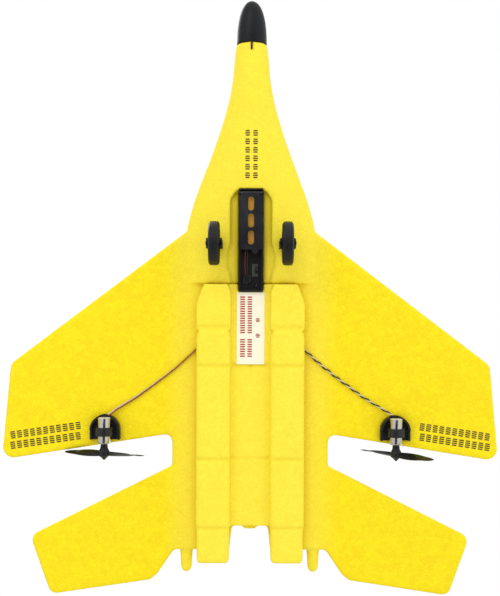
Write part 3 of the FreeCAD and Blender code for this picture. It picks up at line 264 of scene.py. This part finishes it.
def insulation_material(name, colour):
    """Thin flexible wire insulation with faint handling marks."""
    s = Shader(name)
    marks = s.noise(520.0, detail=3.0, rough=0.6)
    darker = tuple(channel * 0.72 for channel in colour[:3]) + (1.0,)
    tinted = s.blend(s.ramp(marks, 0.4, 0.75, 0.0, 0.5), colour, darker)
    return s.finish(tinted, s.ramp(marks, 0.3, 0.7, 0.34, 0.52), s.bump(marks, 0.03 * MM, 0.4))


def metal_material(name, colour, rough=0.28, streaks=(900.0, 60.0, 900.0)):
    """Drawn or turned metal with fine streaks along one direction and some dulling."""
    s = Shader(name)
    lines = s.noise(1.0, detail=3.0, rough=0.7, at=s.stretched(streaks))
    dull = s.noise(180.0, detail=4.0, rough=0.6)
    darker = tuple(channel * 0.78 for channel in colour[:3]) + (1.0,)
    tinted = s.blend(s.ramp(dull, 0.45, 0.85, 0.0, 0.5), colour, darker)
    smeared = s.ramp(lines, 0.3, 0.7, rough - 0.04, rough + 0.05)
    roughness = s.math("ADD", smeared, s.ramp(dull, 0.5, 0.8, 0.0, 0.06))
    return s.finish(tinted, roughness, s.bump(lines, 0.004 * MM, 0.3), metallic=1.0)


def winding_material():
    """Rows of enamelled copper wire."""
    s = Shader("copper_winding")
    rows = s.add("TexWave", {"Vector": s.place, "Scale": 900.0, "Distortion": 0.6, "Detail": 1.0},
                 bands_direction="DIAGONAL").outputs["Fac"]
    colour = s.blend(s.ramp(rows, 0.2, 0.8), rgb(120, 52, 24), rgb(208, 120, 62))
    return s.finish(colour, 0.3, s.bump(rows, 0.06 * MM, 0.8), metallic=0.85)


def board_material():
    """Green lacquered circuit board with copper tracks and tinned pads."""
    s = Shader("circuit_board")
    tracks = s.add("TexBrick", {"Vector": s.place, "Scale": 180.0, "Mortar Size": 0.07, "Brick Width": 0.9,
                                "Row Height": 0.22}).outputs["Fac"]
    cloud = s.noise(300.0, detail=2.0)
    colour = s.blend(s.math("MULTIPLY", tracks, 0.55), rgb(12, 74, 38), rgb(38, 128, 66))
    pads = s.ramp(s.cells(420.0, "Distance"), 0.10, 0.13, 0.6, 0.0)
    colour = s.blend(pads, colour, rgb(190, 186, 170))
    return s.finish(colour, s.ramp(cloud, 0.3, 0.7, 0.22, 0.36), s.bump(tracks, 0.03 * MM, 0.5))


def chip_material():
    """Black moulded chips with a sandy top."""
    s = Shader("chip")
    grain = s.noise(2600.0, detail=2.0)
    colour = s.blend(s.ramp(grain, 0.4, 0.8, 0.0, 0.6), rgb(22, 23, 25), rgb(52, 53, 56))
    return s.finish(colour, 0.5, s.bump(grain, 0.02 * MM, 0.6))


def battery_material():
    """Amber film wrapped around the cell, with folds."""
    s = Shader("battery_wrap")
    folds = s.noise(1.0, detail=4.0, rough=0.65, at=s.stretched((160.0, 45.0, 160.0)))
    fine = s.noise(700.0, detail=2.0)
    colour = s.blend(s.ramp(folds, 0.35, 0.7), rgb(255, 188, 52), rgb(232, 152, 30))
    colour = s.blend(s.ramp(fine, 0.55, 0.8, 0.0, 0.3), colour, rgb(240, 184, 84))
    roughness = s.ramp(folds, 0.3, 0.7, 0.22, 0.4)
    return s.finish(colour, roughness, s.bump(folds, 0.3 * MM, 0.7), Coat_Weight=0.4)


def paper_material():
    """Cream coated paper with a trace of fibre and faint dirty patches."""
    s = Shader("label_paper")
    fibre = s.noise(1.0, detail=4.0, rough=0.7, at=s.stretched((900.0, 300.0, 900.0)))
    cloud = s.noise(60.0, detail=3.0)
    colour = s.blend(s.ramp(fibre, 0.35, 0.8, 0.0, 0.35), rgb(255, 250, 228), rgb(246, 236, 206))
    colour = s.blend(s.ramp(cloud, 0.5, 0.8, 0.0, 0.3), colour, rgb(248, 238, 200))
    return s.finish(colour, 0.62, s.bump(fibre, 0.03 * MM, 0.5))


def ink_material(name, colour, wear=0.35):
    """Thin printed ink, broken where it did not take."""
    s = Shader(name)
    gaps = s.noise(900.0, detail=3.0, rough=0.7)
    paler = tuple(0.55 * channel + 0.18 for channel in colour[:3]) + (1.0,)
    tinted = s.blend(s.ramp(gaps, 0.5, 0.75, 0.0, wear), colour, paler)
    return s.finish(tinted, 0.6, s.bump(gaps, 0.02 * MM, 0.4))


def lamp_material():
    """The clear dark blue lens of the lamp."""
    s = Shader("lamp_lens")
    haze = s.noise(900.0, detail=2.0)
    colour = s.blend(s.ramp(haze, 0.3, 0.8), rgb(8, 10, 26), rgb(20, 26, 62))
    return s.finish(colour, 0.12, s.bump(haze, 0.01 * MM, 0.3), Coat_Weight=0.8)


YELLOW = rgb(253, 232, 12)
YELLOW_DEEP = rgb(248, 221, 4)
BLACK = rgb(18, 19, 20)
BLACK_SOFT = rgb(13, 14, 15)

MATERIALS = {
    "foam": foam_material("bead_foam", YELLOW, YELLOW_DEEP, canopy=True),
    # A paler copy of the same foam, for the pod and the fins: a painted highlight, the paler look of the
    # lit belly pod.
    "paler_lit_foam": foam_material("bead_foam_paler_lit", rgb(255, 238, 40), rgb(253, 226, 20)),
    "nose": plastic_material("nose_plastic", rgb(15, 17, 20), rough=0.38, gloss=0.22),
    "box": plastic_material("box_plastic", rgb(20, 20, 21), rough=0.45, gloss=0.3),
    "cover": plastic_material("cover_plastic", rgb(26, 27, 31), rough=0.42, grain=0.7, gloss=0.35),
    "mount": plastic_material("mount_plastic", BLACK, rough=0.38, gloss=0.3),
    "propeller": plastic_material("propeller_plastic", rgb(20, 22, 22), rough=0.38, grain=0.25, gloss=0.25),
    "gear": plastic_material("gear_plastic", BLACK, rough=0.42, gloss=0.3),
    "hub": plastic_material("hub_plastic", rgb(24, 25, 27), rough=0.38, gloss=0.35),
    "tyre": rubber_material("tyre_rubber", BLACK_SOFT),
    "axle": metal_material("blackened_pin", rgb(70, 70, 74), rough=0.34, streaks=(60.0, 900.0, 900.0)),
    "pin": metal_material("drawn_wire", rgb(196, 196, 198), streaks=(60.0, 900.0, 900.0)),
    "steel": metal_material("can_steel", rgb(196, 194, 186), rough=0.22, streaks=(500.0, 2400.0, 500.0)),
    "shaft": metal_material("ground_shaft", rgb(200, 200, 204), rough=0.2),
    "bronze": metal_material("sintered_bronze", rgb(188, 142, 82), rough=0.42),
    "magnet": metal_material("plated_magnet", rgb(150, 152, 158), rough=0.3),
    "winding": winding_material(),
    "end_cap": plastic_material("end_cap_plastic", rgb(232, 230, 222), rough=0.35),
    "battery": battery_material(),
    "board": board_material(),
    "chips": chip_material(),
    "socket": plastic_material("socket_plastic", rgb(226, 222, 208), rough=0.4),
    "plug": plastic_material("plug_plastic", rgb(20, 20, 21), rough=0.5, gloss=0.25),
    "switch": metal_material("switch_sheet", rgb(124, 124, 116), rough=0.42, streaks=(400.0, 900.0, 400.0)),
    "knob": plastic_material("knob_plastic", rgb(24, 25, 27), rough=0.38),
    "lamp": lamp_material(),
    "paper": paper_material(),
    "label_ink": ink_material("label_ink", rgb(178, 44, 40)),
    "foam_ink": ink_material("foam_ink", rgb(78, 58, 12), wear=0.3),
    "wire_red": insulation_material("wire_red", rgb(146, 62, 30)),
    "lead_red": insulation_material("lead_red", rgb(120, 22, 20)),
    "wire_white": insulation_material("wire_white", rgb(214, 200, 158)),
    "wire_black": insulation_material("wire_black", rgb(50, 42, 24)),
    "aerial": insulation_material("aerial_grey", rgb(120, 122, 126)),
}

# The material of each CAD node that stays in view, by the start of its name.
NODE_LOOKS = {
    "nose_cap": "nose", "battery_box": "box", "battery_cover": "cover", "box_deck": "box",
    "cover_hinge_pin": "pin", "battery_lead_red": "lead_red", "battery_lead_black": "wire_black",
    "battery_plug": "plug", "board_socket": "socket", "receiver_board": "board",
    "board_components": "chips", "antenna_wire": "aerial", "switch_body": "switch", "switch_knob": "knob",
    "status_led": "lamp", "belly_label": "paper", "motor_mount": "mount", "motor_can": "steel",
    "motor_end_cap": "end_cap", "motor_magnet": "magnet", "motor_bushes": "bronze",
    "motor_brushes": "bronze", "motor_rotor": "winding", "motor_shaft": "shaft",
    "propeller_left": "propeller", "propeller_right": "propeller",
    "gear_strut": "gear", "wheel_axle": "axle", "wheel_hub": "hub", "battery": "battery",
}
# Edge rounding of the CAD nodes that are moulded, in millimetres.
EASED = {"battery_box": 0.3, "battery_cover": 0.25, "box_deck": 0.15, "motor_mount": 0.25,
         "gear_strut": 0.3, "switch_knob": 0.15, "switch_body": 0.1, "board_socket": 0.15,
         "battery_plug": 0.2, "motor_can": 0.15, "wheel_hub": 0.2, "nose_cap": 0.15}


def look_of(node):
    """The longest key of NODE_LOOKS that the node's name starts with."""
    return NODE_LOOKS[max((key for key in NODE_LOOKS if node.startswith(key)), key=len)]


def dress(thing, material):
    """Gives a piece its one material."""
    thing.data.materials.clear()
    thing.data.materials.append(MATERIALS[material])


def ease_edges(thing, width):
    """Small rounded edges, as a mould gives, without touching the mesh itself."""
    weld = thing.modifiers.new("weld", "WELD")
    weld.merge_threshold = 0.001 * MM
    bevel = thing.modifiers.new("ease", "BEVEL")
    bevel.width = width * MM
    bevel.segments = 2
    bevel.limit_method = "ANGLE"
    bevel.angle_limit = math.radians(38)
    bevel.harden_normals = True


def make_thinner(thing, depth):
    """Draws the whole surface in by a depth."""
    thin = thing.modifiers.new("thin", "DISPLACE")
    thin.mid_level = 0.0
    thin.strength = -depth * MM


def dress_cad_nodes():
    """Gives a material to every CAD node that no Blender piece replaces."""
    for name, thing in cad.items():
        if name.startswith(("airframe_foam", "belly_pod", "fin_", "wheel_tyre", "motor_wire")):
            continue
        dress(thing, look_of(name))
        if name.startswith("battery_lead"):
            make_thinner(thing, 0.14)
        for key, width in EASED.items():
            if name.startswith(key):
                ease_edges(thing, width)


# ---------------------------------------------------------------------------------------------------------
# Foam skins
# ---------------------------------------------------------------------------------------------------------
def foam_skin(node, voxel, smoothing):
    """An evenly meshed copy of a foam moulding, with every sharp edge eased as a mould leaves it."""
    mesh = cad[node].data.copy()
    work = bmesh.new()
    work.from_mesh(mesh)
    bmesh.ops.remove_doubles(work, verts=work.verts, dist=0.002 * MM)
    work.to_mesh(mesh)
    work.free()
    draft = bpy.data.objects.new(node + "_draft", mesh)
    scene.collection.objects.link(draft)
    even = draft.modifiers.new("even", "REMESH")
    even.mode = "VOXEL"
    even.voxel_size = voxel * MM
    even.use_smooth_shade = True
    soft = draft.modifiers.new("soft", "SMOOTH")
    soft.factor = 0.5
    soft.iterations = smoothing
    ready = draft.evaluated_get(bpy.context.evaluated_depsgraph_get())
    skin = bpy.data.objects.new(node + "_skin", bpy.data.meshes.new_from_object(ready))
    scene.collection.objects.link(skin)
    bpy.data.objects.remove(draft)
    return skin


def points_of(thing):
    """The places and normals of a mesh's points."""
    mesh = thing.data
    places = np.zeros(len(mesh.vertices) * 3, np.float32)
    normals = np.zeros(len(mesh.vertices) * 3, np.float32)
    mesh.vertices.foreach_get("co", places)
    mesh.vertices.foreach_get("normal", normals)
    return places.reshape(-1, 3).astype(float), normals.reshape(-1, 3).astype(float)


def set_points(thing, places):
    thing.data.vertices.foreach_set("co", places.astype(np.float32).ravel())
    thing.data.update()


def distance_to_line(places, line):
    """Plan distance of each point from a line of straight legs, all in millimetres."""
    nearest = np.full(len(places), 1e9)
    flat = places[:, :2] / MM
    for start, end in zip(line, line[1:]):
        a, leg = np.array(start, float), np.array(end, float) - np.array(start, float)
        share = np.clip(((flat - a) @ leg) / (leg @ leg), 0, 1)
        nearest = np.minimum(nearest, np.linalg.norm(flat - (a + share[:, None] * leg), axis=1))
    return nearest


def engrave(thing, lines, side, width, depth):
    """Presses panel lines into one side of a foam skin, and marks them so that the foam material paints
    shade into them.
    """
    places, normals = points_of(thing)
    facing = np.clip(side * normals[:, 2] * 2.0 - 0.4, 0, 1)
    pressed = np.zeros(len(places), np.float32)
    marks = thing.data.attributes.get("pressed")
    if marks:
        marks.data.foreach_get("value", pressed)
    else:
        marks = thing.data.attributes.new("pressed", "FLOAT", "POINT")
    for line in lines:
        share = np.exp(-(distance_to_line(places, line) / width) ** 2) * facing
        places -= normals * (share * depth * MM)[:, None]
        pressed = np.maximum(pressed, share)
    marks.data.foreach_set("value", pressed.astype(np.float32))
    set_points(thing, places)


def both(lines):
    """Each line and its mirror image."""
    return lines + [[(-x, y) for x, y in line] for line in lines]


def foam_piece(node, material, voxel, smoothing):
    """A foam skin that stands in for its CAD node and rides the airframe."""
    skin = foam_skin(node, voxel, smoothing)
    dress(skin, material)
    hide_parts(node)
    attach(skin, "airframe")
    return skin


def airframe_piece():
    """The main moulding. Its flaps, spars and spine are pressed into the upper side."""
    airframe = foam_piece("airframe_foam", "foam", 1.15, 3)
    flap = [(60.0, 93.5), (84.0, 73.0), (158.0, 84.0), (160.5, 108.0)]
    leading_edge = [(52.0, -27.0), (159.0, 54.5)]
    tail_flap = [(66.0, 150.0), (136.0, 184.0)]
    wing_root = [(58.0, -20.0), (58.0, 92.0)]
    spine = [(15.0, -62.0), (13.5, -10.0), (13.5, 150.0)]
    engrave(airframe, both([flap, leading_edge, tail_flap, wing_root, spine]), ABOVE, width=1.1, depth=0.8)
    return airframe


def pod_piece():
    """The belly pod, with the joints of its nacelle sections pressed into the underside."""
    # The pod wears the paler copy of the foam, a painted highlight.
    pod = foam_piece("belly_pod", "paler_lit_foam", 0.9, 9)
    front_edge = [(15.5, 20.8), (36.5, 20.8)]
    intake_joint = [(0.0, 47.5), (38.0, 47.5)]
    middle_joint = [(13.0, 112.0), (38.0, 112.0)]
    rear_joint = [(14.5, 159.6), (38.0, 159.6)]
    tunnel_joint = [(0.0, 112.0), (11.0, 112.0)]
    engrave(pod, both([front_edge]), BELOW, width=1.6, depth=0.8)
    engrave(pod, both([intake_joint, middle_joint, rear_joint]), BELOW, width=1.3, depth=1.0)
    engrave(pod, both([tunnel_joint]), BELOW, width=1.1, depth=0.25)


# ---------------------------------------------------------------------------------------------------------
# Print
# ---------------------------------------------------------------------------------------------------------
def surface_tree(thing):
    """A search tree of a piece's surface, for finding the height of the foam at a place."""
    work = bmesh.new()
    work.from_mesh(thing.data)
    tree = BVHTree.FromBMesh(work)
    work.free()
    return tree


class Print:
    """Plain bars of ink on an underside, which is searched for from below or is flat at one level."""

    def __init__(self, tree=None, level=0.0):
        self.tree = tree
        self.level = level * MM
        self.work = bmesh.new()

    def underside(self, x, y):
        if self.tree:
            hit = self.tree.ray_cast(Vector((x, y, 0.0)), Vector((0, 0, 1)))[0]
            if hit:
                return hit.z
        return self.level

    def bar(self, middle, width, length, turn=0.0):
        """One bar, as a grid of two by two faces that follows the surface."""
        steps, lift = 2, 0.06 * MM
        grid = []
        for i in range(steps + 1):
            row = []
            for j in range(steps + 1):
                across = (i / steps - 0.5) * width
                along = (j / steps - 0.5) * length
                x = (middle[0] + across * math.cos(turn) - along * math.sin(turn)) * MM
                y = (middle[1] + across * math.sin(turn) + along * math.cos(turn)) * MM
                row.append(self.work.verts.new((x, y, self.underside(x, y) - lift)))
            grid.append(row)
        for i in range(steps):
            for j in range(steps):
                self.work.faces.new((grid[i][j], grid[i][j + 1], grid[i + 1][j + 1], grid[i + 1][j]))

    def finish(self, name, material, slot):
        mesh = bpy.data.meshes.new(name)
        self.work.to_mesh(mesh)
        self.work.free()
        piece = bpy.data.objects.new(name, mesh)
        scene.collection.objects.link(piece)
        dress(piece, material)
        thick = piece.modifiers.new("ink", "SOLIDIFY")
        thick.thickness = 0.04 * MM
        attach(piece, "airframe")


def nose_print(tree):
    """Two columns of plain bars under the forward fuselage."""
    columns, first_row, rows, pitch = (-2.6, 2.9), -114.5, 6, 5.9
    ink = Print(tree, level=34.5)
    for x in columns:
        for row in range(rows):
            y = first_row + pitch * row
            for stroke in (-1.5, 0.0, 1.5):
                ink.bar((x, y + stroke), 3.4 - 0.4 * abs(stroke), 0.95)
    ink.finish("nose_print", "foam_ink", "airframe_foam")


def wing_print(tree):
    """Two rows of plain bars near each wing tip, level with the trailing edge."""
    inner, blocks, pitch = 121.5, 11, 4.6
    rows, slope = (91.0, 98.3), math.radians(8.4)
    ink = Print(tree, level=44.0)
    for side in (-1, 1):
        for row in rows:
            for block in range(blocks):
                out = pitch * block
                x = side * (inner + out)
                y = row + out * math.tan(slope)
                turn = side * slope
                for stroke in (-2.1, -0.7, 0.7, 2.1):
                    spot = (x - math.sin(turn) * stroke, y + math.cos(turn) * stroke)
                    ink.bar(spot, 3.6 - 0.2 * abs(stroke), 0.9, turn)
    ink.finish("wing_print", "foam_ink", "airframe_foam")


def label_print():
    """Two columns of plain bars, each with a gap, and two small round marks on the label."""
    first_row, blocks, gap, pitch = 0.6, 13, 8, 3.3
    columns = ((-5.6, 3.4), (-0.6, 3.1))
    mark_x, marks = 5.0, (15.8, 26.6)
    ink = Print(level=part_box("belly_label")[0].z / MM)
    for x, width in columns:
        for block in range(blocks):
            if block != gap:
                for stroke in (-0.8, 0.8):
                    ink.bar((x, first_row + pitch * block + stroke), width, 0.95)
    for y in marks:
        for stroke in (-1.0, 0.0, 1.0):
            ink.bar((mark_x, y + stroke), 3.0 - 0.8 * abs(stroke), 0.7)
    ink.finish("label_print", "label_ink", "belly_label")


# ---------------------------------------------------------------------------------------------------------
# Motor wires
# ---------------------------------------------------------------------------------------------------------
def middle_line(first, second):
    """Points along the middle of a pair of wires, one for each slice across the span of the wires."""
    slices = 35
    places = np.vstack([points_of(cad[name])[0] for name in (first, second)])
    across = np.abs(places[:, 0])
    edges = np.linspace(across.min(), across.max() + 1e-9, slices + 1)
    line = []
    for low, high in zip(edges, edges[1:]):
        slice_of_pair = places[(across >= low) & (across < high)]
        if len(slice_of_pair):
            line.append((slice_of_pair.min(axis=0) + slice_of_pair.max(axis=0)) / 2)
    return [Vector(point) for point in line]


def wound_around(line, pitch, spread, phase):
    """Points that wind around a line, one turn to each pitch, at the spread from it."""
    step_length = 0.9 * MM
    places, gone = [], 0.0
    for start, end in zip(line, line[1:]):
        leg = end - start
        heading = leg.normalized()
        across = heading.cross(Vector((0, 0, 1))).normalized()
        above = across.cross(heading)
        steps = max(1, round(leg.length / step_length))
        for step in range(steps):
            along = leg.length * step / steps
            angle = 2 * math.pi * (gone + along) / pitch + phase
            swing = across * math.cos(angle) + above * math.sin(angle)
            places.append(start + heading * along + swing * spread)
        gone += leg.length
    return places


def round_wire(name, places, radius):
    """A round wire through the places, closed at both ends."""
    data = bpy.data.curves.new(name, "CURVE")
    data.dimensions = "3D"
    data.bevel_depth = radius
    data.bevel_resolution = 3
    data.use_fill_caps = True
    run = data.splines.new("POLY")
    run.points.add(len(places) - 1)
    for point, place in zip(run.points, places):
        point.co = (*place, 1.0)
    wire = bpy.data.objects.new(name, data)
    scene.collection.objects.link(wire)
    return wire


def twisted_wire(node, line, phase, colour, pitch):
    """One wire wound around the middle line of its pair, in place of its CAD node."""
    spread, radius = 0.54 * MM, 0.48 * MM
    wire = round_wire(node + "_twist", wound_around(line, pitch, spread, phase), radius)
    dress(wire, "wire_" + colour)
    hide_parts(node)
    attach(wire, "airframe")


def motor_wires():
    """The left pair is tightly twisted; the right pair runs almost side by side."""
    pairs = (("left", ("black", "white"), 8.5 * MM), ("right", ("white", "red"), 260.0 * MM))
    for side, colours, pitch in pairs:
        pair = [f"motor_wire_{side}_{colour}" for colour in colours]
        line = middle_line(*pair)
        for node, colour, phase in zip(pair, colours, (0.0, math.pi)):
            twisted_wire(node, line, phase, colour, pitch)


# ---------------------------------------------------------------------------------------------------------
# Wheels
# ---------------------------------------------------------------------------------------------------------
def tyre_profile(outer, inner, half):
    """The tyre's section as (across, radius) points: a crowned tread with three shallow grooves."""
    steps = 48
    crown_drop, shoulder, shoulder_drop = 0.35, 0.62, 1.43
    groove_depth, groove_width, grooves = 0.32, 0.05, (-0.42, 0.0, 0.42)
    section = []
    for step in range(steps + 1):
        across = -1 + 2 * step / steps
        past_shoulder = max(0.0, abs(across) - shoulder) / (1 - shoulder)
        crown = outer - crown_drop * across ** 2 - shoulder_drop * past_shoulder ** 2
        cut = sum(groove_depth * math.exp(-((across - middle) / groove_width) ** 2) for middle in grooves)
        section.append((across * half, crown - cut))
    wall = outer - 3.1
    side = [(half, wall), (half - 0.25, wall - 0.5), (half - 0.1, inner + 0.4), (half - 0.5, inner)]
    return section + side + [(-across, radius) for across, radius in reversed(side)]


def spun_mesh(name, centre, section, around):
    """The section carried around a line along X through the centre, as a closed ring of faces."""
    work = bmesh.new()
    rings = []
    for number in range(around):
        angle = 2 * math.pi * number / around
        ring = []
        for across, radius in section:
            arm = Vector((across, radius * math.cos(angle), radius * math.sin(angle)))
            ring.append(work.verts.new(centre + arm * MM))
        rings.append(ring)
    count = len(section)
    for number, ring in enumerate(rings):
        following = rings[(number + 1) % around]
        for point in range(count):
            after = (point + 1) % count
            work.faces.new((ring[point], ring[after], following[after], following[point]))
    bmesh.ops.recalc_face_normals(work, faces=work.faces)
    mesh = bpy.data.meshes.new(name)
    work.to_mesh(mesh)
    work.free()
    mesh.shade_smooth()
    return mesh


def tyre(side):
    """A tyre with a grooved tread, fitted between the hub and the box of its CAD node."""
    node, play = "wheel_tyre_" + side, 0.02
    low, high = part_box(node)
    centre = (low + high) / 2
    half = (high.x - low.x) / 2 / MM
    outer = (high.z - low.z) / 2 / MM
    inner = (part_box("wheel_hub_" + side)[1].z - centre.z) / MM
    section = tyre_profile(outer - play, inner, half - play)
    mesh = spun_mesh(node + "_tread", centre, section, 96)
    piece = bpy.data.objects.new(node + "_tread", mesh)
    scene.collection.objects.link(piece)
    dress(piece, "tyre")
    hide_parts(node)
    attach(piece, "wheel_" + side)


# ---------------------------------------------------------------------------------------------------------
# Floor, light and camera
# ---------------------------------------------------------------------------------------------------------
def staged_sheet(name, half_width, half_length, level, material, hidden_from):
    """A flat rectangle that belongs to the studio and is left out of some kinds of light path."""
    corners = [(-half_width, -half_length, level), (half_width, -half_length, level),
               (half_width, half_length, level), (-half_width, half_length, level)]
    mesh = bpy.data.meshes.new(name)
    mesh.from_pydata(corners, [], [(0, 1, 2, 3)])
    mesh.materials.append(material)
    sheet = bpy.data.objects.new(name, mesh)
    scene.collection.objects.link(sheet)
    for kind_of_path in hidden_from:
        setattr(sheet, kind_of_path, False)


def studio_floor():
    """A pale floor that is clear from underneath, because the aircraft is looked at through it."""
    s = Shader("studio_floor")
    cloud = s.noise(3.0, detail=2.0)
    s.finish(s.blend(cloud, (0.80, 0.80, 0.80, 1), (0.84, 0.84, 0.83, 1)), 0.8)
    clear = s.add("BsdfTransparent").outputs[0]
    from_below = s.add("NewGeometry").outputs["Backfacing"]
    mix = s.add("MixShader", {0: from_below, 1: s.surface.outputs[0], 2: clear})
    output = s.tree.nodes["Material Output"]
    s.put(output.inputs["Surface"], mix.outputs[0])
    hidden_from = ("visible_diffuse", "visible_glossy", "visible_transmission", "visible_shadow")
    staged_sheet("studio_floor", 4.0, 4.0, -0.3 * MM, s.material, hidden_from)


def area_light(name, place, aim_height, size, power):
    """A round lamp that shines on the middle of the aircraft."""
    aim = (0.0, 0.0, aim_height)
    lamp = bpy.data.lights.new(name, "AREA")
    lamp.shape = "DISK"
    lamp.size = size
    lamp.energy = power
    holder = bpy.data.objects.new(name, lamp)
    holder.location = place
    holder.rotation_euler = (Vector(aim) - Vector(place)).to_track_quat("-Z", "Y").to_euler()
    scene.collection.objects.link(holder)
    holder.visible_camera = False


def black_flag():
    """A dark card behind the camera, seen only in reflections, which puts a dark core in bright metal."""
    s = Shader("flag_cloth")
    nap = s.noise(400.0, detail=2.0)
    s.finish(s.blend(nap, (0.004, 0.004, 0.004, 1), (0.009, 0.009, 0.009, 1)), 1.0, Specular_IOR_Level=0.0)
    hidden_from = ("visible_camera", "visible_diffuse", "visible_transmission", "visible_shadow")
    staged_sheet("flag", 0.34, 0.6, -0.75, s.material, hidden_from)


def light_and_world():
    """A white room, brightest low on the front left so that hollows read, and three soft lamps."""
    world = bpy.data.worlds.new("studio")
    world.use_nodes = True
    tree = world.node_tree
    background = tree.nodes["Background"]
    background.inputs["Color"].default_value = (1.0, 1.0, 1.0, 1.0)
    heading = tree.nodes.new("ShaderNodeTexCoord").outputs["Generated"]
    towards_light = tree.nodes.new("ShaderNodeVectorMath")
    towards_light.operation = "DOT_PRODUCT"
    tree.links.new(heading, towards_light.inputs[0])
    towards_light.inputs[1].default_value = Vector((0.45, -0.65, -0.6)).normalized()
    falloff = tree.nodes.new("ShaderNodeMapRange")
    falloff.inputs["From Min"].default_value = -1.0
    falloff.inputs["To Min"].default_value = 0.62
    falloff.inputs["To Max"].default_value = 1.12
    tree.links.new(towards_light.outputs["Value"], falloff.inputs["Value"])
    seen = tree.nodes.new("ShaderNodeLightPath").outputs["Is Camera Ray"]
    strength = tree.nodes.new("ShaderNodeMix")
    tree.links.new(seen, strength.inputs[0])
    tree.links.new(falloff.outputs["Result"], strength.inputs[2])
    strength.inputs[3].default_value = 1.0
    tree.links.new(strength.outputs[0], background.inputs["Strength"])
    scene.world = world
    area_light("key_above", (-0.7, -0.8, 1.3), 0.05, 1.0, 8.0)
    area_light("fill_above", (0.9, 0.5, 1.1), 0.05, 1.2, 3.0)
    area_light("key_below", (-0.35, -0.75, -0.9), 0.04, 0.8, 2.5)


def camera():
    """Straight below the aircraft, looking up, with the nose at the top of the picture."""
    distance, wing_height, picture_height = 650.0, 47.0, 423.0
    roll = math.radians(-0.25)
    lens = bpy.data.cameras.new("belly_view")
    lens.sensor_width = 36.0
    lens.lens = 36.0 * distance / picture_height
    lens.clip_start = 0.01
    eye = bpy.data.objects.new("belly_view", lens)
    eye.location = Vector((-0.5, 0.4, wing_height - distance)) * MM
    eye.rotation_euler = (math.pi, 0.0, roll)
    scene.collection.objects.link(eye)
    scene.camera = eye


# ---------------------------------------------------------------------------------------------------------
# The scene
# ---------------------------------------------------------------------------------------------------------
dress_cad_nodes()
foam_below = surface_tree(airframe_piece())
pod_piece()
for side_name in ("left", "right"):
    foam_piece("fin_" + side_name, "paler_lit_foam", 0.8, 4)
    tyre(side_name)
nose_print(foam_below)
wing_print(foam_below)
label_print()
motor_wires()
studio_floor()
black_flag()
light_and_world()
camera()
scene.view_settings.view_transform = "Standard"
